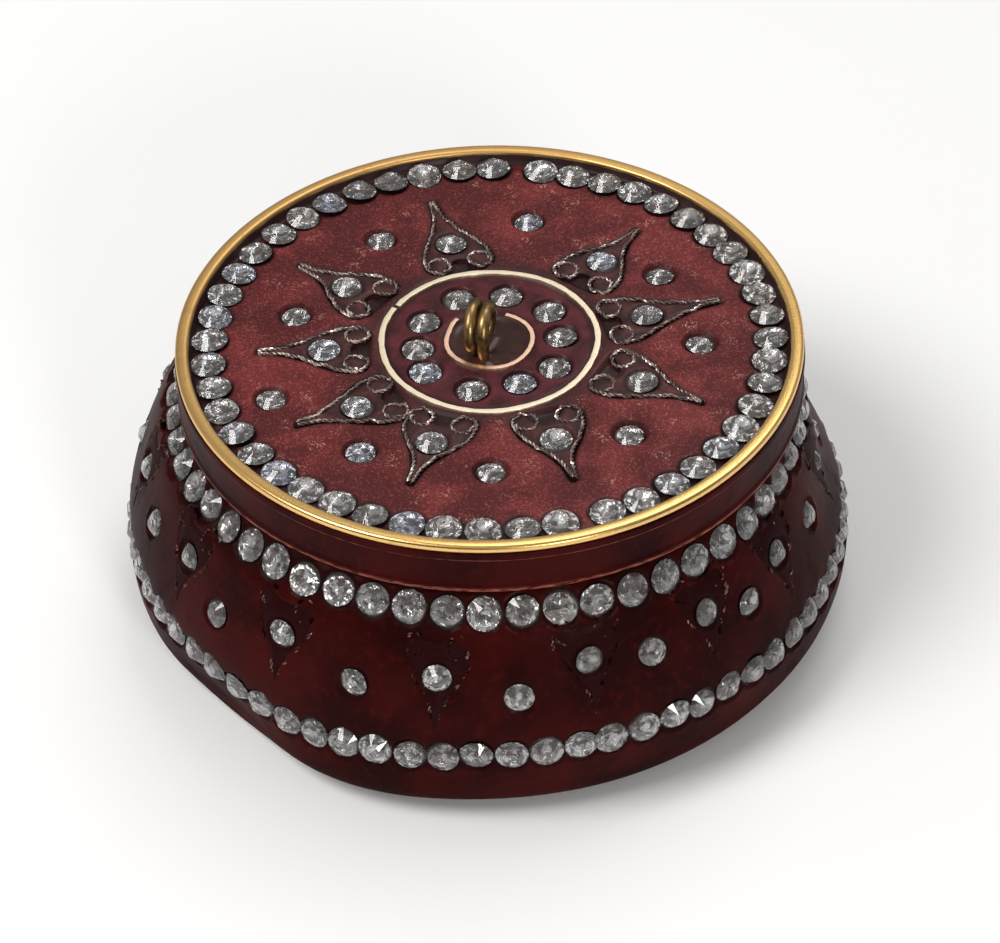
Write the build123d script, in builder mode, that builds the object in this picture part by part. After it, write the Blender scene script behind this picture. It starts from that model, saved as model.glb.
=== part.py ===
from build123d import *

import math
import os

# Lac trinket box: a plain brass cup under a jacket of dark lac, and a lift-off brass lid with
# a bed of red lac. Glass stones, lac leaves outlined in twisted wire and brass strips are
# pressed into the lac, and a loop of wire pulls the lid. Millimetres, +Z up, +Y to the back,
# origin at the centre of the flat underside.

# Heights above the table
lac_under_floor = 1.6
girth_height = 7.3           # widest level of the jacket, and the ledge under the lower row
foot_row_top = 10.7          # upper edge of the band that carries the lower row
shoulder = (20.1, 23.95)     # sloping shoulder that carries the upper row
shoulder_row_height = 22.2
skirt_bottom = 24.3          # lower edge of the lid
neck_top = 26.8              # the lid's pan rests here
border_floor = 28.35         # floor of the lid's border channel
field_top = 28.9             # top of the lid's red lac
rim_top = 29.8

# Radii and thicknesses
underside_radius = 31.0      # flat part that the box stands on
under_round = (34.8, 2.8)    # radius and height of the bend up to the girth
girth_radius = 36.1
foot_radius = 35.05          # jacket behind the lower row
shoulder_radius = 31.9       # jacket at the foot of its shoulder
jacket_mouth = 29.1          # jacket at its upper edge
neck_radius = 28.6           # outside of the brass cup
neck_gap = 0.3               # play between the neck and the lid's skirt
cup_sheet = 0.6
lid_sheet = 0.5
skirt_lac_thickness = 0.8
rim_radius = 30.0
rim_width = 1.3
rim_head_height = 0.8
border_inner = 25.2          # inner wall of the border channel

# Glass stones with flat backs: diameters, and the count of a full row
stone_rise = 1.1
stone_sides = 5              # few sides, since there are hundreds of them
crown_angle = 27.0
shoulder_row = (55, 3.1)
foot_row = (70, 3.05)
foot_row_lean = 12.0         # degrees that its stones are tipped up
border_stone = 3.16
centre_stone = 3.0
petal_stone = 2.9
field_stone = 2.7
side_stone = 2.7
pocket_depth = 0.7           # for a stone that is set by itself

# Pattern of the lid, seen from above: bearings in degrees anticlockwise from +X
border_radius = 26.85
border_runs = ((21, 78.0, -67.3), (27, 88.1, 282.8))  # stones, first and last bearing
petals = (  # bearing and radius of the stone, then of the tip
    (103.3, 15.3, 103.9, 22.3),
    (147.8, 16.2, 146.0, 22.0),
    (183.0, 15.8, 182.1, 22.1),
    (216.4, 15.6, 212.5, 21.4),
    (248.9, 15.6, 249.2, 21.3),
    (292.0, 15.8, 290.0, 21.3),
    (334.7, 15.8, 333.2, 22.0),
    (11.2, 15.5, 12.5, 22.9),
    (45.7, 16.1, 47.5, 22.1),
)
field_stones_at = (
    (123.0, 19.2), (77.0, 18.9), (29.0, 19.2), (356.6, 20.1), (312.4, 18.9),
    (269.5, 18.6), (231.5, 19.6), (200.0, 22.0), (166.0, 19.2),
)
centre_stones_at = (
    (154.0, 6.9), (187.0, 6.9), (215.0, 7.5), (256.0, 7.3), (294.0, 6.9),
    (326.0, 7.4), (3.0, 6.9), (36.0, 7.2), (75.0, 6.9), (114.0, 7.1),
)

# Strips of brass that stand on the pan, between one lac and the next
strip_width = 0.55
strip_proud = 0.1
mid_ring_radius = 10.35
mid_ring_joint = 152.0       # bearing of the gap where its ends meet
joint_gap = 0.25
inner_ring_radius = 4.12
inner_ring_ends = (133.0, 426.0)  # an open ring: bearings of its two ends

# Leaves: a lac inlay and the wire round it
inlay_depth = 0.5
leaf_wire = 0.36
longest_mitre = 2.0          # how far the wire's corners may reach, in half widths
lobe_radius = 1.05           # the two round lobes at a leaf's base
lobe_spread = 2.05           # from the leaf's axis to a lobe's centre
lobe_setback = 3.1           # from the stone back to the lobes
lobe_turn = 200.0            # degrees that a lobe runs round
lobe_start = 75.0            # bearing on the lobe where the leaf's side leaves it
ogee = ((0.0, 2.5), (0.45, 0.8))  # sides from lobe to tip: share of the reach, half width
lobe_facets = 3
side_lobe_facets = 2
side_leaf_size = 0.78
side_leaf_reach = 5.6
side_leaves_seen = (  # bearing, height of the stone
    (211.0, 17.7), (234.5, 17.1), (261.3, 16.8), (285.5, 17.5), (307.0, 17.7), (325.3, 17.7),
)
side_stones_seen = (
    (197.7, 16.0), (220.9, 15.3), (248.0, 15.1), (274.0, 15.1), (296.0, 16.6),
    (315.6, 16.2), (338.0, 16.6),
)
side_leaves_behind = 9       # round the part that faces away
side_leaf_height = 17.4
side_stone_height = 15.6

# Pull loop: one and a half turns of wire standing in a plug of dark lac
loop_wire = 0.85
loop_radius = 2.55
loop_pitch = 1.27            # from one turn to the next
loop_rise = 2.0              # loop centre above its lac
loop_bearing = 63.0
loop_foot = 2.4              # how far each leg is bent out under the pan
leg_hole_play = 0.1
loop_bend = 0.9
seat_sunk = 0.15             # the plug's top lies this far below the field

os.makedirs("parts", exist_ok=True)


def save(piece, name):
    piece.part.label = name
    export_step(piece.part, f"parts/{name}.step")


def polar(bearing, radius):
    angle = math.radians(bearing)
    return (radius * math.cos(angle), radius * math.sin(angle))


def turned(*outline, mode=Mode.ADD):
    """Turn a closed outline of (radius, height) points about the upright axis."""
    with BuildSketch(Plane.XZ) as section:
        with BuildLine():
            Polyline(*outline, close=True)
        make_face()
    revolve(section.sketch, axis=Axis.Z, mode=mode)


def ring(inner, outer, low, high, mode=Mode.ADD):
    turned((inner, low), (outer, low), (outer, high), (inner, high), mode=mode)


def top_plane(bearing, radius, height):
    """A level plane whose X axis points outwards."""
    return Plane(origin=(*polar(bearing, radius), height), x_dir=(*polar(bearing, 1), 0))


def side_plane(bearing, radius, height, lean):
    """A plane on the jacket's side that faces outwards and up by the lean, its X axis downhill."""
    tilt = math.radians(lean)
    return Plane(
        origin=(*polar(bearing, radius), height),
        x_dir=(*polar(bearing, math.sin(tilt)), -math.cos(tilt)),
        z_dir=(*polar(bearing, math.cos(tilt)), math.sin(tilt)),
    )


def stones(planes, diameter, mode=Mode.ADD):
    """Faceted stones, flat backs on the planes. Taken away, they leave the pockets that fit them."""
    with BuildSketch(*planes) as backs:
        RegularPolygon(diameter / 2, stone_sides)
    extrude(backs.sketch, amount=stone_rise, taper=crown_angle, mode=mode)


def leaf_corners(reach, size, facets):
    """Corners of a leaf: tip along the local X axis, two lobes behind its stone."""
    side = []
    for step in range(facets + 1):
        turn = math.radians(lobe_start + lobe_turn * (1 - step / facets))
        x = -lobe_setback + lobe_radius * math.cos(turn)
        side.append(Vector(size * x, size * (lobe_spread + lobe_radius * math.sin(turn))))
    side += [Vector(reach * share, size * half_width) for share, half_width in ogee]
    return side + [Vector(reach, 0)] + [Vector(corner.X, -corner.Y) for corner in reversed(side)]


def moved_out(corners, amount):
    """The same corners with every edge moved outwards, the points of sharp ones cut short."""
    moved = []
    for before, corner, after in zip(corners[-1:] + corners, corners, corners[1:] + corners[:1]):
        along = (corner - before).normalized() + (after - corner).normalized()
        outwards = Vector(-along.Y, along.X).normalized()
        half_turn = (corner - before).get_angle(after - corner) / 2
        stretch = min(1 / math.cos(math.radians(half_turn)), longest_mitre)
        moved.append(corner + outwards * (amount * stretch))
    return moved


def leaf(plane, reach, size, facets, amount, mode=Mode.ADD):
    with BuildSketch(plane) as face:
        with BuildLine():
            Polyline(*leaf_corners(reach, size, facets), close=True)
        make_face()
    extrude(face.sketch, amount=amount, mode=mode)


def leaf_edging(plane, reach, size, facets):
    """Wire laid along the seam between a leaf and the lac round it."""
    corners = leaf_corners(reach, size, facets)
    with BuildSketch(plane) as face:
        with BuildLine():
            Polyline(*moved_out(corners, leaf_wire / 2), close=True)
        make_face()
        with BuildLine():
            Polyline(*moved_out(corners, -leaf_wire / 2), close=True)
        make_face(mode=Mode.SUBTRACT)
    extrude(face.sketch, amount=leaf_wire)


# Metal cup: one sheet, straight sided, bare inside
with BuildPart() as base_shell:
    ring(0, neck_radius, lac_under_floor, neck_top)
    offset(amount=-cup_sheet, openings=base_shell.faces().sort_by(Axis.Z)[-1])
save(base_shell, "base_shell")

# Slopes of the jacket's side
belly_lean = math.degrees(math.atan2(foot_radius - shoulder_radius, shoulder[0] - foot_row_top))
shoulder_lean = math.degrees(math.atan2(shoulder_radius - jacket_mouth, shoulder[1] - shoulder[0]))


def belly_radius(height):
    return foot_radius - (height - foot_row_top) * math.tan(math.radians(belly_lean))


def on_belly(places, sunk):
    """Planes on the belly of the jacket at each bearing and height, sunk below its surface."""
    lean = math.radians(belly_lean)
    rise = sunk * math.sin(lean)
    return [
        side_plane(bearing, belly_radius(height) - sunk * math.cos(lean), height - rise, belly_lean)
        for bearing, height in places
    ]


def row_planes(count, radius, height, lean):
    """Planes under a full row of stones, evenly round the jacket."""
    return [side_plane(360 * step / count, radius, height, lean) for step in range(count)]


# Leaves and single stones all round the belly, in step with the ones in front
last_seen = side_leaves_seen[-1][0]
leaf_gap = (360 + side_leaves_seen[0][0] - last_seen) / (side_leaves_behind + 1)
side_leaves = list(side_leaves_seen)
side_stones = list(side_stones_seen)
for step in range(1, side_leaves_behind + 1):
    side_leaves.append((last_seen + leaf_gap * step, side_leaf_height))
for step in range(1, side_leaves_behind):
    side_stones.append((last_seen + leaf_gap * (step + 0.5), side_stone_height))

# Jacket of dark lac, pressed round the cup and under its floor
with BuildPart() as base_lac:
    turned(
        (0, 0),
        (underside_radius, 0),
        under_round,
        (girth_radius, girth_height),
        (foot_radius, girth_height),
        (foot_radius, foot_row_top),
        (shoulder_radius, shoulder[0]),
        (jacket_mouth, shoulder[1]),
        (neck_radius, shoulder[1]),
        (neck_radius, lac_under_floor),
        (0, lac_under_floor),
    )
    for plane in on_belly(side_leaves, inlay_depth):
        leaf(plane, side_leaf_reach, side_leaf_size, side_lobe_facets, 2 * inlay_depth, Mode.SUBTRACT)
    stones(on_belly(side_stones, pocket_depth), side_stone, mode=Mode.SUBTRACT)
save(base_lac, "base_lac")

with BuildPart() as shoulder_stones:
    rise = shoulder_row_height - shoulder[0]
    row_radius = shoulder_radius - rise * math.tan(math.radians(shoulder_lean))
    stones(
        row_planes(shoulder_row[0], row_radius, shoulder_row_height, shoulder_lean),
        shoulder_row[1],
    )
save(shoulder_stones, "shoulder_stones")

# The lower row leans back above its ledge
with BuildPart() as foot_stones:
    row_radius = foot_radius + foot_row[1] / 2 * math.sin(math.radians(foot_row_lean))
    row_height = (girth_height + foot_row_top) / 2
    stones(row_planes(foot_row[0], row_radius, row_height, foot_row_lean), foot_row[1])
save(foot_stones, "foot_stones")

with BuildPart() as side_field_stones:
    stones(on_belly(side_stones, pocket_depth), side_stone)
save(side_field_stones, "side_field_stones")

with BuildPart() as side_leaf_stones:
    stones(on_belly(side_leaves, inlay_depth), side_stone)
save(side_leaf_stones, "side_leaf_stones")

with BuildPart() as side_leaf_inlays:
    for plane in on_belly(side_leaves, inlay_depth):
        leaf(plane, side_leaf_reach, side_leaf_size, side_lobe_facets, inlay_depth)
    stones(on_belly(side_leaves, inlay_depth), side_stone, mode=Mode.SUBTRACT)
save(side_leaf_inlays, "side_leaf_inlays")

# Levels and radii of the lid
pan_top = neck_top + lid_sheet
skirt_inner = neck_radius + neck_gap
skirt_outer = skirt_inner + lid_sheet
band_outer = skirt_outer + skirt_lac_thickness
rim_inner = rim_radius - rim_width
rim_shoulder = rim_top - rim_head_height
strip_high = field_top + strip_proud
mid_ring_inner = mid_ring_radius - strip_width / 2
mid_ring_outer = mid_ring_radius + strip_width / 2
seat_radius = inner_ring_radius - strip_width / 2

# Pull loop: each leg comes up through the pan, and three half turns join them
seat_top = field_top - seat_sunk
loop_height = seat_top + loop_rise
leg_step = 0.75 * loop_pitch
turn_step = 0.25 * loop_pitch
arch = math.hypot(loop_radius, turn_step)
pan_under = neck_top - loop_height
foot_level = pan_under - loop_bend
bend_middle = loop_bend * math.sin(math.radians(45))
across = Plane(origin=(0, 0, loop_height), x_dir=(*polar(loop_bearing, 1), 0))


def leg_points(side):
    """From the pan's underside to the end of a leg: the bend's two ends, middle between, and foot."""
    leg_y = side * leg_step
    bent_x = side * (loop_radius + loop_bend)
    return (
        (side * loop_radius, leg_y, pan_under),
        (bent_x - side * bend_middle, leg_y, foot_level + loop_bend - bend_middle),
        (bent_x, leg_y, foot_level),
        (side * (loop_radius + loop_foot), leg_y, foot_level),
    )


with BuildPart() as pull_loop:
    with BuildLine(across) as loop_path:
        first = leg_points(-1)
        last = leg_points(1)
        Line(first[3], first[2])
        ThreePointArc(first[2], first[1], first[0])
        Line(first[0], (-loop_radius, -leg_step, 0))
        ThreePointArc(
            (-loop_radius, -leg_step, 0),
            (0, -2 * turn_step, arch),
            (loop_radius, -turn_step, 0),
        )
        ThreePointArc(
            (loop_radius, -turn_step, 0), (0, 0, -arch), (-loop_radius, turn_step, 0)
        )
        ThreePointArc(
            (-loop_radius, turn_step, 0), (0, 2 * turn_step, arch), (loop_radius, leg_step, 0)
        )
        Line((loop_radius, leg_step, 0), last[0])
        ThreePointArc(last[0], last[1], last[2])
        Line(last[2], last[3])
    with BuildSketch(Plane(loop_path.line @ 0, z_dir=loop_path.line % 0)):
        RegularPolygon(loop_wire / 2, 6)
    sweep(path=loop_path.wire())
save(pull_loop, "pull_loop")

# Least gap between strands, from points that are over half a turn apart along the wire
steps = 400
path_wire = loop_path.wire()
path_points = [path_wire @ (step / steps) for step in range(steps + 1)]
apart = math.ceil(math.pi * loop_radius / path_wire.length * steps)
least = min(
    (path_points[i] - path_points[j]).length
    for i in range(steps + 1)
    for j in range(i + apart, steps + 1)
)
print(f"pull loop: least gap of the wire to itself {least - loop_wire:.3f} mm")

# Lid: a shallow pan with a skirt round the neck
with BuildPart() as lid_shell:
    turned(
        (0, neck_top),
        (skirt_inner, neck_top),
        (skirt_inner, skirt_bottom),
        (skirt_outer, skirt_bottom),
        (skirt_outer, pan_top),
        (0, pan_top),
    )
    with BuildSketch(across.offset(pan_under)) as leg_holes:
        with Locations(*(leg_points(side)[0][:2] for side in (-1, 1))):
            RegularPolygon(loop_wire / 2 + leg_hole_play, 6)
    extrude(leg_holes.sketch, amount=lid_sheet, mode=Mode.SUBTRACT)
save(lid_shell, "lid_shell")

# Band of lac round the skirt
with BuildPart() as skirt_lac:
    ring(skirt_outer, band_outer, skirt_bottom, rim_shoulder)
save(skirt_lac, "skirt_lac")

# Rim: a brass ring with a wide head, on the edge of the pan
with BuildPart() as rim_ring:
    turned(
        (rim_inner, pan_top),
        (skirt_outer, pan_top),
        (skirt_outer, rim_shoulder),
        (rim_radius, rim_shoulder),
        (rim_radius, rim_top),
        (rim_inner, rim_top),
    )
save(rim_ring, "rim_ring")


def petal_plane(petal, height):
    """A level plane on a petal's stone with its X axis to the tip, and how far off the tip is."""
    stone = Vector(*polar(petal[0], petal[1]), height)
    tip = Vector(*polar(petal[2], petal[3]), height)
    return Plane(origin=stone, x_dir=tip - stone), (tip - stone).length


inlay_floor = field_top - inlay_depth
petal_backs = [petal_plane(petal, inlay_floor)[0] for petal in petals]
field_backs = [top_plane(*place, field_top - pocket_depth) for place in field_stones_at]
centre_backs = [top_plane(*place, field_top - pocket_depth) for place in centre_stones_at]

# Field of the lid: red lac from the centre ring to the rim, its border channel turned down
with BuildPart() as lid_lac:
    turned(
        (mid_ring_outer, pan_top),
        (rim_inner, pan_top),
        (rim_inner, border_floor),
        (border_inner, border_floor),
        (border_inner, field_top),
        (mid_ring_outer, field_top),
    )
    for petal in petals:
        plane, reach = petal_plane(petal, inlay_floor)
        leaf(plane, reach, 1, lobe_facets, inlay_depth, Mode.SUBTRACT)
    stones(field_backs, field_stone, mode=Mode.SUBTRACT)
save(lid_lac, "lid_lac")

with BuildPart() as border_stones:
    border_backs = []
    for count, first_bearing, last_bearing in border_runs:
        for step in range(count):
            bearing = first_bearing + (last_bearing - first_bearing) * step / (count - 1)
            border_backs.append(top_plane(bearing, border_radius, border_floor))
    stones(border_backs, border_stone)
save(border_stones, "border_stones")

with BuildPart() as petal_inlays:
    for petal in petals:
        plane, reach = petal_plane(petal, inlay_floor)
        leaf(plane, reach, 1, lobe_facets, inlay_depth)
    stones(petal_backs, petal_stone, mode=Mode.SUBTRACT)
save(petal_inlays, "petal_inlays")

with BuildPart() as petal_wires:
    for petal in petals:
        plane, reach = petal_plane(petal, field_top)
        leaf_edging(plane, reach, 1, lobe_facets)
save(petal_wires, "petal_wires")

with BuildPart() as petal_stones:
    stones(petal_backs, petal_stone)
save(petal_stones, "petal_stones")

with BuildPart() as field_stones:
    stones(field_backs, field_stone)
save(field_stones, "field_stones")

# Ring between field and centre: a strip bent round, with a fine gap where its ends meet
with BuildPart() as mid_ring:
    ring(mid_ring_inner, mid_ring_outer, pan_top, strip_high)
    with BuildSketch(top_plane(mid_ring_joint, mid_ring_radius, pan_top)) as joint:
        Rectangle(2 * strip_width, joint_gap)
    extrude(joint.sketch, amount=strip_high - pan_top, mode=Mode.SUBTRACT)
save(mid_ring, "mid_ring")

# Open ring round the plug of the pull loop
with BuildPart() as inner_ring:
    with BuildSketch(Plane.XY.offset(pan_top)) as strip:
        with BuildLine():
            start, end = inner_ring_ends
            CenterArc((0, 0), inner_ring_radius, start, end - start)
        trace(line_width=strip_width)
    extrude(strip.sketch, amount=strip_high - pan_top)
save(inner_ring, "inner_ring")

with BuildPart() as centre_lac:
    ring(seat_radius, mid_ring_inner, pan_top, field_top)
    add(inner_ring.part, mode=Mode.SUBTRACT)
    stones(centre_backs, centre_stone, mode=Mode.SUBTRACT)
save(centre_lac, "centre_lac")

with BuildPart() as centre_stones:
    stones(centre_backs, centre_stone)
save(centre_stones, "centre_stones")

# Plug of lac that holds the pull loop
with BuildPart() as loop_seat:
    ring(0, seat_radius, pan_top, seat_top)
    add(pull_loop.part, mode=Mode.SUBTRACT)
save(loop_seat, "loop_seat")
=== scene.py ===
"""Lac trinket box: dressed pieces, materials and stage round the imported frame.

Shapes are worked out in millimetres with +Z up, and turned into metres when a mesh is made.
"""

import math
from functools import reduce

import bmesh
import bpy
import numpy as np
from bpy.props import FloatProperty, FloatVectorProperty, IntProperty, PointerProperty
from mathutils import Matrix, Vector


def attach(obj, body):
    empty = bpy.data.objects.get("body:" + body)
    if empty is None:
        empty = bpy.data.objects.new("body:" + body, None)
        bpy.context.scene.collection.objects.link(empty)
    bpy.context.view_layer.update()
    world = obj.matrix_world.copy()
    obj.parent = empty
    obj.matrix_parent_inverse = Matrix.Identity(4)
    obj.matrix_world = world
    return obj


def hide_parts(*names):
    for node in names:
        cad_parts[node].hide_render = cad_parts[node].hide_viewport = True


bl_info = {
    "name": "Lac Trinket Box",
    "version": (1, 0, 0),
    "blender": (4, 5, 0),
    "location": "3D View > Sidebar > Trinket Box",
    "description": "Builds a lac trinket box set with glass stones round its packed frame",
    "category": "Object",
}

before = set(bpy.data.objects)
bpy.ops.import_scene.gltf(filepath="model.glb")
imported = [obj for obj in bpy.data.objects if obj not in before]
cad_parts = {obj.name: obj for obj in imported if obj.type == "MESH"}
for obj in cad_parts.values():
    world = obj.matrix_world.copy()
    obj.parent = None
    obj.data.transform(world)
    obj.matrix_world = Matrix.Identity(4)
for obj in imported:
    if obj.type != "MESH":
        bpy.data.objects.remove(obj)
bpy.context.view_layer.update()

MM = 0.001
MATERIALS = {}

# Levels and radii that the solids of the frame fix
PAN_TOP = 27.3
FIELD_TOP = 28.9
SEAT_TOP = 28.75
RIM_SHOULDER = 29.0
RIM_TOP = 29.8
SKIRT_BOTTOM = 24.3
NECK_TOP = 26.8
CUP_BOTTOM = 1.6
CUP_RADIUS = 28.6
CUP_WALL = 0.62
SKIRT_INNER = 28.9
SKIRT_OUTER = 29.4
RIM_INNER = 28.7
RIM_RADIUS = 30.0
MID_RING_RADIUS = 10.35
INNER_RING_RADIUS = 4.12
STRIP_WIDTH = 0.55
SEAT_RADIUS = INNER_RING_RADIUS - STRIP_WIDTH / 2


# Shapes

def polar(bearing, radius, height=0.0):
    """Point at a bearing in degrees, anticlockwise from +X. Arrays give an array of points."""
    angle = np.radians(bearing)
    x = radius * np.cos(angle)
    y = radius * np.sin(angle)
    return np.stack(np.broadcast_arrays(x, y, height), axis=-1).astype(float)


def from_middle(points):
    """Radius and bearing of each point about the upright axis."""
    x, y = points[..., 0], points[..., 1]
    return np.hypot(x, y), np.degrees(np.arctan2(y, x))


def off_nearest(points, spots):
    """Level distance of each point from the nearest spot."""
    away = [np.hypot(points[..., 0] - spot[0], points[..., 1] - spot[1]) for spot in spots]
    return np.min(away, axis=0)


def smoothstep(low, high, value):
    share = np.clip((value - low) / (high - low), 0.0, 1.0)
    return share * share * (3 - 2 * share)


def smooth_line(corners, step):
    """Points a step apart along a smooth curve through the corners."""
    corners = np.asarray(corners, float)
    ends = np.vstack([2 * corners[0] - corners[1], corners, 2 * corners[-1] - corners[-2]])
    share = np.linspace(0, 1, 24, endpoint=False)[:, None]
    dense = [
        start
        + 0.5 * share * (end - before)
        + share**2 * (before - 2.5 * start + 2 * end - 0.5 * after)
        + share**3 * (-0.5 * before + 1.5 * start - 1.5 * end + 0.5 * after)
        for before, start, end, after in zip(ends, ends[1:], ends[2:], ends[3:])
    ]
    dense = np.vstack([*dense, corners[-1:]])
    run = np.r_[0, np.cumsum(np.linalg.norm(np.diff(dense, axis=0), axis=1))]
    marks = np.linspace(0, run[-1], max(2, round(run[-1] / step) + 1))
    return np.stack([np.interp(marks, run, column) for column in dense.T], axis=-1)


class Waves:
    """Slow, smooth unevenness of handwork, the same each time for a seed."""

    def __init__(self, seed, lobes, levels):
        chance = np.random.default_rng(seed)
        self.lobes = chance.integers(1, lobes + 1, 9)
        self.levels = chance.uniform(-1, 1, 9) / levels
        self.phases = chance.uniform(0, 2 * math.pi, 9)

    def __call__(self, bearing, level):
        total = 0
        for lobe, slope, phase in zip(self.lobes, self.levels, self.phases):
            total = total + np.sin(lobe * np.radians(bearing) + slope * level + phase)
        return total / 9


def grid_faces(rows, columns, closed_rows=False, closed_columns=False):
    """Four-sided faces over a grid of points, row by row."""
    row = np.arange(rows if closed_rows else rows - 1)[:, None]
    column = np.arange(columns if closed_columns else columns - 1)[None, :]
    next_row = (row + 1) % rows
    next_column = (column + 1) % columns
    corners = [row * columns + column, row * columns + next_column]
    corners += [next_row * columns + next_column, next_row * columns + column]
    return np.stack([c.ravel() for c in np.broadcast_arrays(*corners)], axis=-1).tolist()


def finished_mesh(mesh, crease=38.0):
    """Merge doubles, turn faces outwards, and shade smooth up to an angle. 0 leaves it faceted."""
    work = bmesh.new()
    work.from_mesh(mesh)
    bmesh.ops.remove_doubles(work, verts=work.verts, dist=1e-7)
    bmesh.ops.dissolve_degenerate(work, dist=1e-8, edges=work.edges)
    bmesh.ops.recalc_face_normals(work, faces=work.faces)
    for face in work.faces:
        face.smooth = crease > 0
    work.to_mesh(mesh)
    work.free()
    if crease > 0:
        mesh.set_sharp_from_angle(angle=math.radians(crease))
    return mesh


def solid_mesh(name, points, faces, crease=38.0, shade_and_grime=None):
    """A finished mesh of millimetre points. Shade and grime gives each point's share of painted
    shade and dirt, 0 to 1.
    """
    mesh = bpy.data.meshes.new(name)
    mesh.from_pydata((np.asarray(points, float) * MM).tolist(), [], faces)
    if shade_and_grime is not None:
        shares = np.zeros(len(points))
        shares[:shade_and_grime.size] = shade_and_grime.ravel()
        mesh.attributes.new("shade_and_grime", "FLOAT", "POINT").data.foreach_set("value", shares)
    return finished_mesh(mesh, crease)


def all_round(count):
    """Bearings spaced evenly round a full turn."""
    return np.linspace(0, 360, count, endpoint=False)


def ring_solid(name, rows, crease, shade_and_grime=None):
    """A closed solid from rows of points that run round the upright axis."""
    faces = grid_faces(*rows.shape[:2], closed_rows=True, closed_columns=True)
    return solid_mesh(name, rows.reshape(-1, 3), faces, crease, shade_and_grime)


def rounded_outline(corners, steps=5):
    """A closed outline from (radius, height, rounding) corners."""
    flat = np.array([corner[:2] for corner in corners], float)
    share = np.linspace(0, 1, steps)[:, None]
    points = []
    for corner, before, after, (*_, rounding) in zip(
        flat, np.roll(flat, 1, axis=0), np.roll(flat, -1, axis=0), corners
    ):
        if not rounding:
            points.append([corner])
            continue
        start, end = (
            corner + (other - corner) / np.linalg.norm(other - corner) * rounding
            for other in (before, after)
        )
        points.append((1 - share) ** 2 * start + 2 * share * (1 - share) * corner + share**2 * end)
    return np.vstack(points)


def turned(name, corners, count=288, crease=38.0):
    """A closed outline of (radius, height, rounding) corners turned about the upright axis."""
    outline = rounded_outline(corners)
    return ring_solid(name, polar(all_round(count), outline[:, :1], outline[:, 1:]), crease)


def sweep(name, path, section, up=None, crease=38.0):
    """A section of (sideways, upwards) points carried along an open path, ends closed.

    Without an up direction, the section turns as little as it can.
    """
    along = np.gradient(path, axis=0)
    along /= np.linalg.norm(along, axis=1, keepdims=True)
    if up is None:
        side = np.cross(along[0], (0.31, 0.17, 0.94))
        sides = []
        for direction in along:
            side = side - direction * (side @ direction)
            side = side / np.linalg.norm(side)
            sides.append(side)
        sides = np.array(sides)
    else:
        sides = np.cross(along, np.broadcast_to(up, along.shape))
        sides /= np.linalg.norm(sides, axis=1, keepdims=True)
    ups = np.cross(sides, along)
    points = path[:, None] + sides[:, None] * section[..., :1] + ups[:, None] * section[..., 1:]
    around = section.shape[-2]
    faces = grid_faces(len(path), around, closed_columns=True)
    faces.append(list(range(around)))
    faces.append([len(path) * around - 1 - k for k in range(around)])
    return solid_mesh(name, points.reshape(-1, 3), faces, crease)


def slab(name, top, low, shade_and_grime):
    """Closed sheet between two grids of points."""
    rows, columns = top.shape[:2]
    count = rows * columns
    faces = grid_faces(rows, columns)
    faces += [[count + i for i in reversed(face)] for face in faces]
    places = np.arange(count).reshape(rows, columns)
    rim = [*places[:, 0], *places[-1, 1:], *places[-2::-1, -1], *places[0, -2:0:-1]]
    for here, after in zip(rim, rim[1:] + rim[:1]):
        faces.append([here, after, after + count, here + count])
    return solid_mesh(name, np.concatenate([top, low]).reshape(-1, 3), faces, 60.0, shade_and_grime)


def joined(name, meshes):
    """One mesh out of several."""
    work = bmesh.new()
    for mesh in meshes:
        work.from_mesh(mesh)
        bpy.data.meshes.remove(mesh)
    whole = bpy.data.meshes.new(name)
    work.to_mesh(whole)
    work.free()
    return whole


def filled_slots(mesh):
    """Drop the empty material slots that a node tree leaves in a mesh."""
    kept = [index for index, material in enumerate(mesh.materials) if material]
    used = np.empty(len(mesh.polygons), np.int32)
    mesh.polygons.foreach_get("material_index", used)
    found = [mesh.materials[index] for index in kept]
    mesh.materials.clear()
    for material in found:
        mesh.materials.append(material)
    mesh.polygons.foreach_set("material_index", np.searchsorted(kept, used).astype(np.int32))


def placed(mesh, name, body, slot, material, *stands_for):
    """Put a finished mesh in the scene, riding on its body. None keeps the mesh's materials."""
    mesh.name = name
    if material is None:
        filled_slots(mesh)
    else:
        mesh.materials.append(MATERIALS[material])
    piece = bpy.data.objects.new(name, mesh)
    bpy.context.scene.collection.objects.link(piece)
    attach(piece, body)
    if stands_for:
        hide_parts(*stands_for)


# Places that the frame's own solids give

def islands(node):
    """Corner points of each separate solid in a node, as its list of triangles."""
    work = bmesh.new()
    work.from_mesh(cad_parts[node].data)
    bmesh.ops.remove_doubles(work, verts=work.verts, dist=1e-6)
    work.faces.ensure_lookup_table()
    left = set(work.faces)
    found = []
    while left:
        stack = [left.pop()]
        group = list(stack)
        while stack:
            near = {other for edge in stack.pop().edges for other in edge.link_faces} & left
            left -= near
            stack += near
            group += near
        found.append([[Vector(v.co) / MM for v in face.verts] for face in group])
    work.free()
    return found


def bearing_of(point):
    return math.degrees(math.atan2(point[1], point[0]))


def stone_places(node):
    """Centre of the flat back, outward direction and width of each stone, by bearing."""
    places = []
    for triangles in islands(node):
        backs = {}
        for a, b, c in triangles:
            cross = (b - a).cross(c - a)
            if cross.length < 1e-6:
                continue
            key = tuple(round(x, 2) for x in cross.normalized())
            backs.setdefault(key, []).append((cross.length, (a, b, c)))
        key = max(backs, key=lambda k: sum(area for area, _ in backs[k]))
        corners = {tuple(round(x, 4) for x in p) for _, tri in backs[key] for p in tri}
        corners = np.array(sorted(corners))
        centre = corners.mean(axis=0)
        width = 2 * np.linalg.norm(corners - centre, axis=1).mean()
        places.append((centre, -np.array(key) / np.linalg.norm(key), width))
    return sorted(places, key=lambda place: bearing_of(place[0]))


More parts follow.
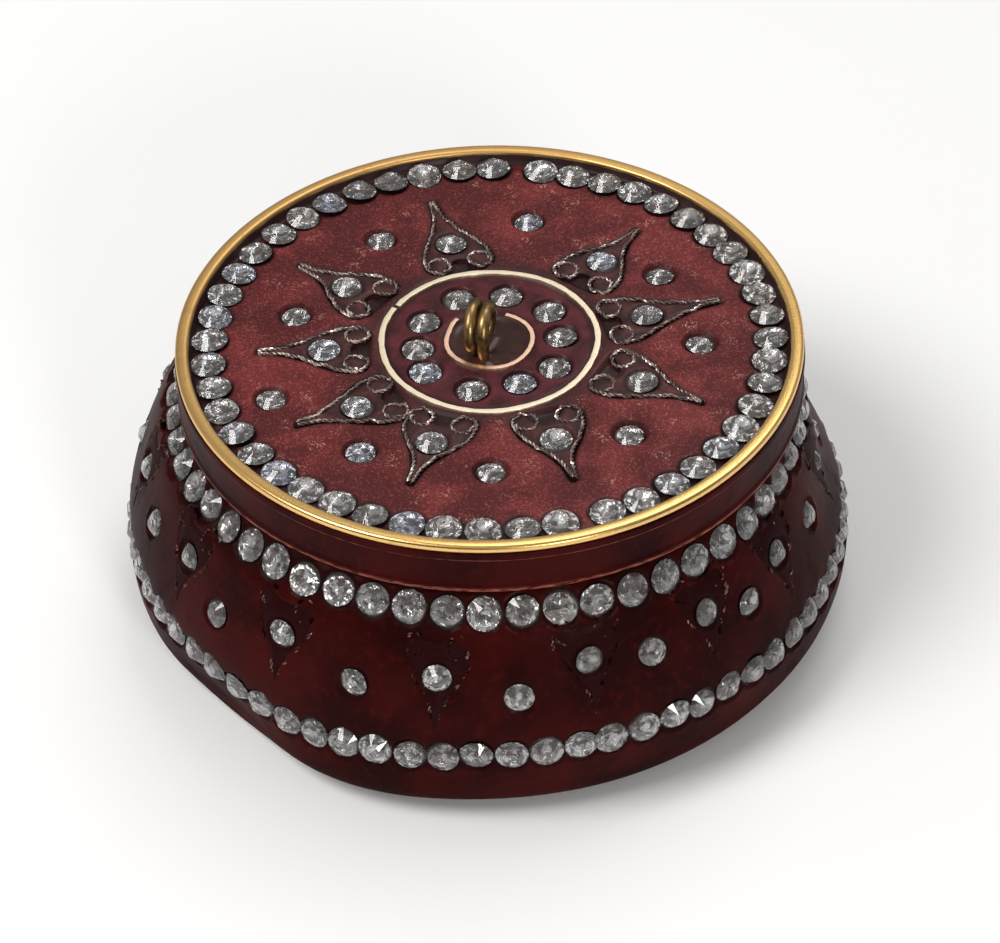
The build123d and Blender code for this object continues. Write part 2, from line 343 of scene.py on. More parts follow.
# Stones of the jacket, and how its lac is pressed round them: gap, slope and lip
JACKET_STONES = {
    "shoulder_stones": (0.02, 2.0, 0.05),
    "foot_stones": (0.02, 2.0, 0.05),
    "side_field_stones": (0.12, 2.2, 0.06),
    "side_leaf_stones": (0.12, 2.2, 0.0),
}
# Stones of the lid: how far off their places, how much higher and how much wider
LID_STONES = {
    "border_stones": (0.09, 0.18, 1.08),
    "petal_stones": (0.0, 0.04, 1.06),
    "field_stones": (0.0, -0.1, 1.04),
    "centre_stones": (0.05, -0.02, 1.04),
}
CAD_PLACES = {node: stone_places(node) for node in (*JACKET_STONES, *LID_STONES)}


def leaf_frames(inlay_node, stone_node):
    """Stone's centre, outward and tip directions and reach of each leaf, from its solid."""
    leaves = []
    for triangles in islands(inlay_node):
        points = np.array([p for tri in triangles for p in tri])
        middle = points.mean(axis=0)
        centre, aim, _ = min(
            CAD_PLACES[stone_node], key=lambda place: np.linalg.norm(place[0] - middle)
        )
        flat = points - centre
        flat = flat - np.outer(flat @ aim, aim)
        tip = flat[np.argmax(np.linalg.norm(flat, axis=1))]
        leaves.append((centre, aim, tip / np.linalg.norm(tip), float(np.linalg.norm(tip))))
    return sorted(leaves, key=lambda leaf: bearing_of(leaf[0]))


PETALS = leaf_frames("petal_inlays", "petal_stones")
SIDE_LEAVES = leaf_frames("side_leaf_inlays", "side_leaf_stones")


# The jacket's skin and the stones' seats

JACKET_SIDE = (
    (31.3, 0.0), (33.2, 0.7), (34.9, 2.5), (35.7, 5.0), (35.85, 7.2), (35.72, 8.8),
    (35.3, 11.6), (34.15, 15.2), (32.55, 19.0), (31.2, 21.4), (29.95, 23.2), (29.1, 23.95),
)
JACKET_LEAN = 0.58
jacket_line = smooth_line(JACKET_SIDE, 0.3)
jacket_waves = Waves(11, 9, 6.0)
slow_waves = Waves(12, 4, 14.0)

# Places that were pressed in or left full: bearing, spread, height, spread, depth
PRESSED = ((222, 13, 4.0, 4.5, -1.6), (8, 28, 15.0, 5.0, -1.7), (248, 17, 3.0, 3.5, 0.8))


def jacket_points(bearing, height):
    """Skin of the jacket, as hand-pressed lac: uneven, and leaning a little to the left."""
    radius = np.interp(height, jacket_line[:, 1], jacket_line[:, 0])
    loose = smoothstep(0.0, 2.5, height) * smoothstep(23.9, 20.0, height)
    radius = radius + loose * (
        0.22 * jacket_waves(bearing, height) + 0.3 * slow_waves(bearing, height) - 0.12
    )
    for middle, spread, level, reach, depth in PRESSED:
        off = (bearing - middle + 180) % 360 - 180
        bell = np.exp(-((off / spread) ** 2) - ((height - level) / reach) ** 2)
        radius = radius + depth * loose * bell
    points = polar(bearing, radius, height)
    points[..., 0] -= JACKET_LEAN * loose
    return points


def jacket_frame(bearing, height):
    """Point of the skin, with its outward and downhill directions."""
    around = jacket_points(bearing + 0.4, height) - jacket_points(bearing - 0.4, height)
    upward = jacket_points(bearing, height + 0.2) - jacket_points(bearing, height - 0.2)
    out = np.cross(around, upward)
    out /= np.linalg.norm(out)
    return jacket_points(bearing, height), out, -upward / np.linalg.norm(upward)


class Cut:
    """Levels of a stone, from its foiled back up, and its table, as shares of its width."""

    back = 0.10
    girdle = 0.13
    rise = 0.37
    table = 0.40


# The front ends where the sine of a bearing passes this range, and stones sit deeper beyond
FRONT_ENDS = (-0.75, -0.35)
# The foot row dips at the lower left (depth, bearing, spread) and round the back
LEFT_DIP = (1.0, 240, 22)
BACK_DIP = 0.8


def seated(node):
    """Places of the stones on the jacket, sunk a little into its skin."""
    chance = np.random.default_rng(len(node))
    in_row = node in ("shoulder_stones", "foot_stones")
    sunk, deeper, swell = (0.20, 0.12, 1.07) if in_row else (0.17, 0.08, 1.03)
    places = []
    for centre, _, width in CAD_PLACES[node]:
        bearing, height = bearing_of(centre), centre[2]
        if in_row:
            bearing += chance.uniform(-0.22, 0.22)
            height += chance.uniform(-0.14, 0.14)
        backwards = math.sin(math.radians(bearing))
        if node == "foot_stones":
            depth, middle, spread = LEFT_DIP
            height -= depth * math.exp(-(((bearing % 360 - middle) / spread) ** 2))
            height -= BACK_DIP * smoothstep(-0.35, 0.1, backwards)
        here, out, _ = jacket_frame(bearing, height)
        depth = width * (sunk + deeper * smoothstep(*FRONT_ENDS, backwards))
        places.append((here - out * depth, out, width * swell))
    return places


PLACES = {node: seated(node) for node in JACKET_STONES}
chance = np.random.default_rng(3)
for node, (loose, rise, swell) in LID_STONES.items():
    PLACES[node] = [
        (centre + np.append(loose * chance.uniform(-1, 1, 2), rise), aim, width * swell)
        for centre, aim, width in CAD_PLACES[node]
    ]

LAC_BELOW_GIRDLE = 0.04
PRESS_REACH = 1.3
LIP_OFF = 0.25
LIP_SPREAD = 0.18


def press_in(points, places, gap, slope, lip):
    """Sink a skin's points round each stone, and raise a soft lip of lac beyond the gap."""
    skin = points.reshape(-1, 3)
    for centre, aim, width in places:
        near = np.flatnonzero(np.linalg.norm(skin - centre, axis=1) < width / 2 + PRESS_REACH)
        away = skin[near] - centre
        rise = away @ aim
        edge = np.linalg.norm(away - np.outer(rise, aim), axis=1) - width / 2
        raised = lip * np.exp(-(((edge - gap - LIP_OFF) / LIP_SPREAD) ** 2))
        level = (Cut.girdle - LAC_BELOW_GIRDLE) * width + np.maximum(edge - gap, 0) * slope
        skin[near] += np.outer(np.minimum(level - rise, raised), aim)


def stone_shade_and_grime(points, places, reach):
    """Share of painted shade and dirt round stones, for each point."""
    share = np.zeros(points.shape[:-1])
    for centre, _, width in places:
        away = np.linalg.norm(points - centre, axis=-1) - width / 2
        share = np.maximum(share, smoothstep(reach, 0.08, away))
    return share


# Leaves: outline, lac patch and wire, in a leaf's own plane with its tip along +X

SIDE_LEAF_SIZE = 0.96
CURL_CENTRE = (-3.05, 2.08)
CURL_RADIUS = 1.22


def wobble(chance):
    return chance.uniform(-0.16, 0.16, 4)


def leaf_side(reach, size, wobble):
    """Control points of one side, from the lobe to the tip, on the +Y half."""
    return [
        (-2.73 * size, (3.26 + wobble[0]) * size),
        (-1.3 * size, (3.02 + wobble[1]) * size),
        (0.1 * reach, (2.05 + wobble[2]) * size),
        (0.36 * reach, (1.12 + wobble[3]) * size),
        (0.66 * reach, 0.42 * size),
        (reach, 0.14 * size),
    ]


def leaf_half_width(x, reach, size, wobble=(0, 0, 0, 0)):
    side = smooth_line(leaf_side(reach, size, wobble), 0.1)
    back = [(-4.3 * size, 2.1 * size), (-4.05 * size, 2.85 * size), (-3.4 * size, 3.24 * size)]
    whole = np.vstack([back, side])
    return np.interp(x, whole[:, 0], whole[:, 1])


def leaf_patch(reach, size, wobble, rows, columns, notch):
    """Flat grid over a leaf: points (x, y) and how far from its edge each lies, from 0 to 1."""
    across = np.linspace(-1, 1, columns)
    start = (-4.15 + notch * smoothstep(0.8, 0.05, np.abs(across))) * size
    share = np.linspace(0, 1, rows)[:, None]
    x = start + (reach - start) * share
    y = across * leaf_half_width(x, reach, size, wobble) * 0.97
    inside = np.minimum(1 - np.abs(across) + 0 * x, np.minimum(share, 1 - share) * 6)
    return np.stack([x, y], axis=-1), np.clip(inside * 2.2, 0, 1)


def leaf_wire_paths(reach, size, wobble, step=0.16):
    """Centre lines of a leaf's two wires: a curl at the base, then the side, to the tip."""
    turn = np.radians(np.linspace(75 + 385, 75, 34))
    radius = (CURL_RADIUS - 0.3 * np.linspace(1, 0, 34) ** 1.5)[:, None] * size
    curl = np.multiply(CURL_CENTRE, size) + radius * np.stack([np.cos(turn), np.sin(turn)], axis=-1)
    path = smooth_line(np.vstack([curl, leaf_side(reach, size, wobble)[1:]]), step)
    return [path, path * (1, -1)]


# Shader and geometry wiring

def arithmetic(operation, swapped=False):
    def act(self, other):
        pair = (other, self) if swapped else (self, other)
        return self.wiring.add("ShaderNodeMath", dict(enumerate(pair)), operation=operation)

    return act


class Signal:
    """One output socket. Arithmetic on it adds Math nodes to its tree."""

    def __init__(self, wiring, socket):
        self.wiring = wiring
        self.socket = socket

    __add__ = arithmetic("ADD")
    __radd__ = arithmetic("ADD", swapped=True)
    __sub__ = arithmetic("SUBTRACT")
    __rsub__ = arithmetic("SUBTRACT", swapped=True)
    __mul__ = arithmetic("MULTIPLY")
    __rmul__ = arithmetic("MULTIPLY", swapped=True)
    __truediv__ = arithmetic("DIVIDE")
    __pow__ = arithmetic("POWER")
    larger = arithmetic("MAXIMUM")
    smaller = arithmetic("MINIMUM")
    direction_to = arithmetic("ARCTAN2")

    def wave(self, operation):
        """SINE, COSINE or ABSOLUTE of the value."""
        return self.wiring.add("ShaderNodeMath", {0: self}, operation=operation)

    def output(self, name):
        return Signal(self.wiring, self.socket.node.outputs[name])

    def between(self, low, high):
        """0 below low, 1 above high, smooth in between. Low may lie above high."""
        values = {"Value": self, "From Min": low, "From Max": high}
        if low > high:
            values = {"Value": self, "From Min": high, "From Max": low}
            values.update({"To Min": 1.0, "To Max": 0.0})
        return self.wiring.add("ShaderNodeMapRange", values, interpolation_type="SMOOTHSTEP")


class Wiring:
    """Adds nodes to one tree, of a material, the world or a modifier."""

    def __init__(self, tree):
        self.tree = tree

    def add(self, kind, values=None, output=None, **settings):
        """A new node with its inputs fed. Gives its first output in use, or the one named."""
        node = self.tree.nodes.new(kind)
        for name, value in settings.items():
            setattr(node, name, value)
        for key, value in (values or {}).items():
            self.feed(node.inputs[key], value)
        if not node.outputs:
            return node
        shown = [socket for socket in node.outputs if socket.enabled]
        return Signal(self, node.outputs[output] if output else shown[0])

    def feed(self, socket, value):
        if isinstance(value, Signal):
            self.tree.links.new(value.socket, socket)
        else:
            socket.default_value = (*value, 1.0)[:4] if socket.type == "RGBA" else value


def paint(red, green, blue):
    """Screen colour from 0 to 255, as the linear colour that a shader takes."""
    shares = (red / 255, green / 255, blue / 255)
    return tuple(c / 12.92 if c <= 0.04045 else ((c + 0.055) / 1.055) ** 2.4 for c in shares)


class Finish(Wiring):
    """A material with one Principled shader, its patterns measured in millimetres."""

    def __init__(self, name, **uniform):
        MATERIALS[name] = bpy.data.materials.new(name)
        MATERIALS[name].use_nodes = True
        super().__init__(MATERIALS[name].node_tree)
        self.set(**uniform)
        place = self.add("ShaderNodeTexCoord", output="Object")
        in_mm = {0: place, 1: (1 / MM, 1 / MM, 1 / MM)}
        self.place = self.add("ShaderNodeVectorMath", in_mm, operation="MULTIPLY")

    def set(self, **values):
        """Feed inputs of the shader, spaces in their names written as underlines."""
        for name, value in values.items():
            shader = self.tree.nodes["Principled BSDF"]
            self.feed(shader.inputs[name.replace("_", " ")], value)

    def done(self, colour, roughness, height, depth, strength, **others):
        """Feed the finished patterns. Depth is how deep the height's bumps are."""
        bumps = {"Height": height, "Distance": depth * MM, "Strength": strength}
        normal = self.add("ShaderNodeBump", bumps)
        self.set(Base_Color=colour, Roughness=roughness, Normal=normal, **others)

    def noise(self, size, detail=2.0, seed=0.0, stretch=(1, 1, 1), turn=0.0, place=None):
        """Noise whose features are about a size across."""
        mapped = self.add("ShaderNodeMapping", {
            "Vector": place or self.place,
            "Location": (seed, seed * 0.7, -seed),
            "Rotation": (0, 0, math.radians(turn)),
            "Scale": tuple(size * s for s in stretch),
        }, vector_type="TEXTURE")
        return self.add("ShaderNodeTexNoise", {"Vector": mapped, "Scale": 1.0, "Detail": detail})

    def layered(self, colour, *layers):
        """A colour with others laid over it, each given as its share and its colour."""
        for share, other in layers:
            values = {"Factor": share, 6: colour, 7: other}
            colour = self.add(
                "ShaderNodeMix", values, output=2, data_type="RGBA", clamp_factor=True
            )
        return colour

    def carried(self, name):
        """A number that the mesh itself carries, such as its share of painted shade and grime."""
        return self.add("ShaderNodeAttribute", output="Fac", attribute_name=name)

    def parts(self):
        """X, Y and Z of the place."""
        split = self.add("ShaderNodeSeparateXYZ", {0: self.place})
        return [split.output(axis) for axis in "XYZ"]

    def round_place(self, along):
        """Coordinates (radius, height, bearing) about the upright axis, for turned work."""
        x, y, z = self.parts()
        radius = (x * x + y * y) ** 0.5
        return self.add("ShaderNodeCombineXYZ", {0: radius, 1: z, 2: y.direction_to(x) * along})


# Materials

def jacket_lac(colours, name, highlit_edges=()):
    """Dark polished lac. Highlit edges gives heights, half widths and strengths of painted
    highlights on rounded edges.
    """
    finish = Finish(name, Specular_IOR_Level=0.03, Coat_IOR=1.45, Coat_Roughness=0.16)
    cloud = finish.noise(9.0, 3.0)
    grain = finish.noise(0.8, 4.0, seed=4.0)
    wear = finish.noise(2.6, 5.0, seed=9.0).between(0.55, 0.75)
    height = finish.parts()[2]
    edges = []
    # Painted highlights: broken lighter lines along rounded edges, where the lac's gloss catches
    # light
    for level, reach, strength in highlit_edges:
        edge = (height - level).wave("ABSOLUTE").between(reach, 0.3 * reach)
        rub_and_sheen = finish.noise(1.1, 3.0, seed=level, stretch=(1, 1, 0.2)).between(0.36, 0.6)
        edges.append((edge * rub_and_sheen * strength, colours.rub_and_sheen))
    colour = finish.layered(
        colours.jacket_dark,
        (cloud.between(0.35, 0.68), colours.jacket),
        (grain.between(0.5, 0.8) * 0.35, colours.jacket_light),
        (wear * 0.25, colours.jacket_dark),
        # Painted shade and dirt round the stones
        (finish.carried("shade_and_grime") * 0.75, colours.shade_and_grime),
        *edges,
    )
    roughness = 0.36 + 0.16 * grain + 0.12 * wear + 0.2 * height.between(7.0, 3.0)
    coat = (0.01 + 0.03 * cloud.between(0.3, 0.7)) * height.between(3.0, 8.0)
    ripple = finish.noise(3.0, seed=2.0) + 0.12 * finish.noise(0.35)
    finish.done(colour, roughness, ripple, 0.10, 0.7, Coat_Weight=coat)


def field_lac(colours):
    """Red lac with short glitter fibres laid in every direction."""
    finish = Finish("field_lac", Specular_IOR_Level=0.15, Coat_IOR=1.5, Coat_Roughness=0.3)
    layers = []
    for step, turn in enumerate((8, 47, 83, 121, 158)):
        layer = finish.noise(0.14, 1.0, seed=3.1 * step, stretch=(3.4, 1, 1), turn=turn)
        layers.append(layer.between(0.64, 0.74))
    fibres = reduce(Signal.larger, layers)
    patch = finish.noise(5.5, 4.0, seed=7.0).between(0.42, 0.66)
    dust = finish.noise(0.2, 3.0, seed=1.0)
    bunch = finish.noise(2.6, 4.0, seed=15.0).between(0.56, 0.72)
    glint = fibres * (0.3 + 0.25 * patch + 0.45 * bunch)
    x, y, _ = finish.parts()
    edge = (x * x + y * y) ** 0.5 + 1.4 * finish.noise(1.5, 3.0, seed=12.0)
    rub_and_sheen = finish.noise(0.7, 3.0, seed=21.0).between(0.25, 0.5)
    colour = finish.layered(
        colours.field_dark,
        (patch, colours.field),
        (dust.between(0.35, 0.7) * 0.4, colours.field_dark),
        (glint, colours.glitter),
        (bunch * fibres * 0.5, colours.bright_glitter),
        (edge.between(13.9, 12.0) * 0.7, colours.leaf_dark),
        # Painted shade and dirt round the stones and leaves, and painted shade under the rim
        (finish.carried("shade_and_grime") * (0.45 + 0.5 * rub_and_sheen), colours.shade_and_grime),
        # Painted shade at the field's outer edge, under the rim
        (edge.between(28.6, 29.0), colours.leaf_dark),
    )
    height = fibres * 0.4 + dust * 0.5 + finish.noise(1.6)
    finish.done(colour, 0.5 - 0.15 * glint, height, 0.06, 0.8, Coat_Weight=0.1 + 0.15 * patch)


def centre_lac(colours):
    finish = Finish("centre_lac", Specular_IOR_Level=0.15, Coat_IOR=1.5, Coat_Roughness=0.25)
    cloud = finish.noise(2.4, 4.0, seed=5.0)
    dust = finish.noise(0.22, seed=6.0)
    colour = finish.layered(
        colours.centre_dark,
        (cloud.between(0.35, 0.65), colours.centre),
        (dust.between(0.5, 0.7) * 0.45, colours.field),
        # Painted shade and dirt round the stones and beside the two strips
        (finish.carried("shade_and_grime") * 0.8, colours.shade_and_grime),
    )
    coat = 0.05 + 0.12 * cloud
    finish.done(colour, 0.36 + 0.2 * dust, cloud + 0.25 * dust, 0.07, 0.7, Coat_Weight=coat)


def leaf_lac(colours, name, dark, light, dusting, gloss):
    """Duller lac of the leaves."""
    finish = Finish(name, Specular_IOR_Level=0.15 * gloss, Coat_IOR=1.5, Coat_Roughness=0.3)
    cloud = finish.noise(1.6, 4.0, seed=3.0)
    dust = finish.noise(0.25, 3.0, seed=8.0)
    colour = finish.layered(
        dark,
        (cloud.between(0.35, 0.68), light),
        (dust.between(0.45, 0.7) * dusting, colours.field),
        # Painted shade beside the wires and round the stones, with dirt
        (finish.carried("shade_and_grime") * 0.85, colours.shade_and_grime),
    )
    coat = gloss * (0.1 + 0.2 * cloud)
    finish.done(colour, 0.42 + 0.25 * dust, cloud + 0.4 * dust, 0.08, 0.8, Coat_Weight=coat)


def plug_lac(colours):
    finish = Finish("plug_lac", Specular_IOR_Level=0.2, Coat_IOR=1.5, Coat_Roughness=0.1)
    cloud = finish.noise(1.3, 3.0)
    dust = finish.noise(0.2, 3.0, seed=2.0)
    # The lighter brown under the dark clouds is partly the lac's own colour and partly a painted
    # warm brown reflection
    colour = finish.layered(paint(62, 34, 28), (cloud.between(0.4, 0.7), colours.centre_dark))
    coat = 0.1 + 0.2 * cloud
    finish.done(colour, 0.14 + 0.12 * dust, cloud + 0.1 * dust, 0.05, 0.6, Coat_Weight=coat)


def brass(name, bright, dull, roughness, streak, tarnish, turned_work=False, far_side_shade=0.0):
    """Brass with drawn or turned lines and brown tarnish in patches. Far side shade is how much
    painted shade darkens the far and left sides.
    """
    finish = Finish(name, Metallic=1.0)
    if turned_work:
        place = finish.round_place(3.0)
        lines = finish.noise(0.09, 3.0, stretch=(1, 1, 40), place=place)
        slow = finish.noise(0.5, seed=3.0, stretch=(1, 1, 14), place=place)
    else:
        lines = finish.noise(0.12, 3.0)
        slow = finish.noise(0.9, seed=3.0)
    patches = finish.noise(3.4, 5.0, seed=6.0)
    spots = finish.noise(0.45, 3.0, seed=1.0).between(0.62, 0.74)
    brown = (patches * 0.55 + slow * 0.45).between(0.62 - 0.25 * tarnish, 0.82 - 0.25 * tarnish)
    mask = brown + spots * 0.5
    # Painted shade: the dull colour laid over the far and left sides, which catch less light
    if far_side_shade:
        x, y, _ = finish.parts()
        mask = mask + (y * 0.018 - x * 0.012).between(-0.35, 0.6) * far_side_shade
    mask = mask.smaller(1.0)
    colour = finish.layered(paint(*bright), (mask * (0.35 + 0.6 * tarnish), paint(*dull)))
    roughness = roughness + 0.1 * lines + 0.22 * mask
    finish.done(colour, roughness, lines * streak + 0.6 * slow + 0.3 * mask, 0.03, 0.6)


def wire_metal(name, bright, dull):
    """Fine tarnished wire, bright only where it has been rubbed."""
    finish = Finish(name, Metallic=1.0)
    rub = finish.noise(1.7, 3.0).between(0.45, 0.68)
    shade_and_grime = finish.noise(0.4, 3.0, seed=4.0).between(0.4, 0.62)
    colour = finish.layered(dull, (rub, bright), (shade_and_grime * 0.6, dull))
    finish.done(colour, 0.32 + 0.3 * shade_and_grime, finish.noise(0.12), 0.015, 0.5)


def stone_glass(colours):
    finish = Finish("stone_glass", Transmission_Weight=0.95, IOR=1.58)
    smear = finish.noise(0.9, 4.0)
    colour = finish.layered(colours.glass, (smear.between(0.45, 0.8), paint(226, 222, 214)))
    roughness = 0.02 + 0.1 * smear.between(0.5, 0.8)
    finish.done(colour, roughness, finish.noise(0.6, seed=3.0), 0.03, 0.6)


def stone_foil(colours):
    """Silver foil behind a stone, its tone a little different from stone to stone."""
    finish = Finish("stone_foil", Metallic=1.0)
    tone = finish.carried("tone")
    spots = finish.noise(0.62, 3.0)
    colour = finish.layered(
        colours.foil_dark,
        (0.35 + 0.65 * tone, colours.foil),
        # Painted reflection: blue on foil toned over 0.9, which only the lid's upward-facing stones
        # reach
        (tone.between(0.9, 1.12) * 0.45, colours.foil_blue),
        (spots.between(0.47, 0.57) * 0.9, colours.foil_dark),
    )
    finish.done(colour, 0.12 + 0.2 * spots, finish.noise(0.7, seed=2.0), 0.22, 1.0)


# Metals: bright and tarnished colour, roughness, depth of lines, tarnish, turned, painted shade on
# the far and left sides
METALS = {
    "rim_brass": ((240, 196, 124), (134, 92, 58), 0.20, 0.5, 0.3, True, 0.7),
    "strip_brass": ((252, 236, 208), (206, 164, 116), 0.34, 0.3, 0.15),
    "copper_strip": ((246, 208, 180), (176, 112, 84), 0.34, 0.3, 0.25),
    "loop_brass": ((164, 136, 90), (56, 38, 24), 0.28, 0.3, 0.85),
    "cup_brass": ((220, 176, 104), (128, 88, 50), 0.3, 0.9, 0.45, True),
}
# Painted highlights along the lid's band, at its ledge and its lower lip: height, half width,
# strength
BAND_HIGHLIGHTS = ((24.45, 0.55, 0.8), (28.25, 0.16, 0.45))


def make_materials(colours):
    jacket_lac(colours, "jacket_lac")
    jacket_lac(colours, "band_lac", BAND_HIGHLIGHTS)
    leaf_lac(colours, "leaf_lac", colours.leaf_dark, colours.leaf, 0.3, 1.0)
    leaf_lac(colours, "side_leaf_lac", colours.jacket_dark, colours.side_leaf, 0.06, 0.15)
    for make in (field_lac, centre_lac, plug_lac, stone_glass, stone_foil):
        make(colours)
    for name, look in METALS.items():
        brass(name, *look)
    wire_metal("leaf_wire", colours.wire, colours.wire_dark)
    wire_metal("side_wire", colours.side_wire, colours.jacket_dark)


# Geometry Nodes

class Recipe(Wiring):
    """Geometry Nodes with named inputs, each given as a kind of socket or a number to start at."""

    kinds = {int: "Int", float: "Float"}

    def __init__(self, name, inputs):
        super().__init__(bpy.data.node_groups.new(name, "GeometryNodeTree"))
        self.keys = {}
        for title, start in inputs.items():
            kind = self.kinds.get(type(start), start)
            self.keys[title] = self.socket(title, kind)
            if kind != start:
                self.keys[title].default_value = start
        self.socket("Geometry", "Geometry", "OUTPUT")
        group = self.add("NodeGroupInput")
        self.given = {title: group.output(title) for title in inputs}

    def socket(self, title, kind, direction="INPUT"):
        kind = "NodeSocket" + kind
        return self.tree.interface.new_socket(name=title, in_out=direction, socket_type=kind)

    def grown(self, source, values):
        """Plain mesh that the nodes make of an object, which goes away afterwards."""
        bpy.context.scene.collection.objects.link(source)
        modifier = source.modifiers.new(self.tree.name, "NODES")
        modifier.node_group = self.tree
        for title, value in values.items():
            modifier[self.keys[title].identifier] = value
        depsgraph = bpy.context.evaluated_depsgraph_get()
        mesh = bpy.data.meshes.new_from_object(
            source.evaluated_get(depsgraph), preserve_all_data_layers=True, depsgraph=depsgraph
        )
        source.modifiers.clear()
        data = source.data
        bpy.data.objects.remove(source)
        (bpy.data.curves if isinstance(data, bpy.types.Curve) else bpy.data.meshes).remove(data)
        return mesh


def stone_setting():
    """Cut stones on points, each turned, tipped and sized a little differently."""
    recipe = Recipe("set_stones", {
        "Places": "Geometry", "Cut Stone": "Object", "Glass": "Material", "Foil": "Material",
        "Tip": 0.06, "Size Spread": 0.04, "Dullest Tone": 0.0, "Brightest Tone": 1.0, "Seed": 1,
    })
    add, given = recipe.add, recipe.given

    def chance(low, high, shift):
        values = {2: low, 3: high, "Seed": given["Seed"] + shift}
        return add("FunctionNodeRandomValue", values, output=1, data_type="FLOAT")

    def carried(name, kind):
        return add("GeometryNodeInputNamedAttribute", {"Name": name}, data_type=kind)

    aim = carried("aim", "FLOAT_VECTOR")
    facing = add("FunctionNodeAlignRotationToVector", {"Vector": aim}, axis="Z")
    lean = add("ShaderNodeCombineXYZ", {
        0: chance(-1.0, 1.0, 1) * given["Tip"],
        1: chance(-1.0, 1.0, 2) * given["Tip"],
        2: chance(0.0, math.tau, 3),
    })
    rotation = add("FunctionNodeRotateRotation", {
        "Rotation": facing, "Rotate By": add("FunctionNodeEulerToRotation", {0: lean}),
    }, rotation_space="LOCAL")
    size = carried("width", "FLOAT") * (1.0 + chance(-1.0, 1.0, 4) * given["Size Spread"])
    stone = add("GeometryNodeObjectInfo", {"Object": given["Cut Stone"]}, output="Geometry")
    instances = add("GeometryNodeInstanceOnPoints", {
        "Points": given["Places"], "Instance": stone, "Rotation": rotation,
        "Scale": add("ShaderNodeCombineXYZ", {0: size, 1: size, 2: size}),
    })
    tone = chance(given["Dullest Tone"], given["Brightest Tone"], 5)
    toned = add("GeometryNodeStoreNamedAttribute", {
        "Geometry": instances, "Name": "tone", "Value": tone,
    }, data_type="FLOAT", domain="INSTANCE")
    real = add("GeometryNodeRealizeInstances", {"Geometry": toned})
    glazed = add("GeometryNodeSetMaterial", {"Geometry": real, "Material": given["Glass"]})
    backed = add("GeometryNodeSetMaterial", {
        "Geometry": glazed, "Selection": carried("foil", "BOOLEAN"), "Material": given["Foil"],
    })
    add("NodeGroupOutput", {"Geometry": backed})
    return recipe


def wire_twisting():
    """Two strands wound round each other along every line of a curve, just touching."""
    recipe = Recipe("twist_wire", {
        "Lines": "Geometry", "Strand Width": 0.0002, "Twist Pitch": 0.0012,
        "Sides": 5, "Steps a Twist": 10, "Off Centre": 0.48, "Metal": "Material",
    })
    add, given = recipe.add, recipe.given
    strand, pitch = given["Strand Width"], given["Twist Pitch"]
    even = {"Curve": given["Lines"], "Length": pitch / given["Steps a Twist"]}
    lines = add("GeometryNodeResampleCurve", even, mode="LENGTH")
    run = add("GeometryNodeSplineParameter", output="Length")
    side = add("GeometryNodeInputNormal", output="Normal")
    along = add("GeometryNodeInputTangent")
    other = add("ShaderNodeVectorMath", {0: along, 1: side}, operation="CROSS_PRODUCT")
    profile = add("GeometryNodeCurvePrimitiveCircle", {
        "Resolution": given["Sides"], "Radius": strand * 0.5,
    }, output="Curve", mode="RADIUS")
    strands = []
    for start in (0.0, math.pi):
        turn = run / pitch * math.tau + start
        parts = []
        for vector, wave in ((side, "COSINE"), (other, "SINE")):
            reach = turn.wave(wave) * strand * given["Off Centre"]
            moved = {0: vector, "Scale": reach}
            parts.append(add("ShaderNodeVectorMath", moved, operation="SCALE"))
        offset = add("ShaderNodeVectorMath", dict(enumerate(parts)), operation="ADD")
        wound = add("GeometryNodeSetPosition", {"Geometry": lines, "Offset": offset})
        strands.append(add("GeometryNodeCurveToMesh", {
            "Curve": wound, "Profile Curve": profile, "Fill Caps": True,
        }))
    pair = add("GeometryNodeJoinGeometry", {"Geometry": strands[0]})
    recipe.feed(pair.socket.node.inputs["Geometry"], strands[1])
    real = add("GeometryNodeRealizeInstances", {"Geometry": pair})
    metal = add("GeometryNodeSetMaterial", {"Geometry": real, "Material": given["Metal"]})
    add("NodeGroupOutput", {"Geometry": metal})
    return recipe


def cut_stone():
    """A round stone one unit wide: a table, a crown of 24 facets and a foiled back."""
    girdle = polar(all_round(16), 0.5)
    base = girdle * 0.97 + (0, 0, Cut.back)
    hollow = girdle[1::2] * 0.52 + (0, 0, Cut.back + 0.06)
    table = polar(all_round(8), Cut.table / 2, Cut.rise)
    points = np.vstack([girdle + (0, 0, Cut.girdle), table, base, hollow, [(0, 0, Cut.back)]])
    faces = [list(range(16, 24))]
    for i in range(8):
        here, after, before = 2 * i, (2 * i + 1) % 16, (2 * i - 1) % 16
        faces += [[16 + i, before, here], [16 + i, here, after], [16 + i, after, 16 + (i + 1) % 8]]
    glass_faces = len(faces)
    faces += [[i, i + 24, (i + 1) % 16 + 24, (i + 1) % 16] for i in range(16)]
    for i in range(8):
        left, middle, right = 24 + 2 * i, 25 + 2 * i, 24 + (2 * i + 2) % 16
        here, after = 40 + i, 40 + (i + 1) % 8
        faces += [[left, here, middle], [middle, here, right]]
        faces += [[right, here, after], [here, 48, after]]
    mesh = bpy.data.meshes.new("cut_stone")
    mesh.from_pydata(points.tolist(), [], faces)
    finished_mesh(mesh, 0)
    foil = mesh.attributes.new("foil", "BOOLEAN", "FACE")
    foil.data.foreach_set("value", [index >= glass_faces for index in range(len(faces))])
    return bpy.data.objects.new("cut_stone", mesh)


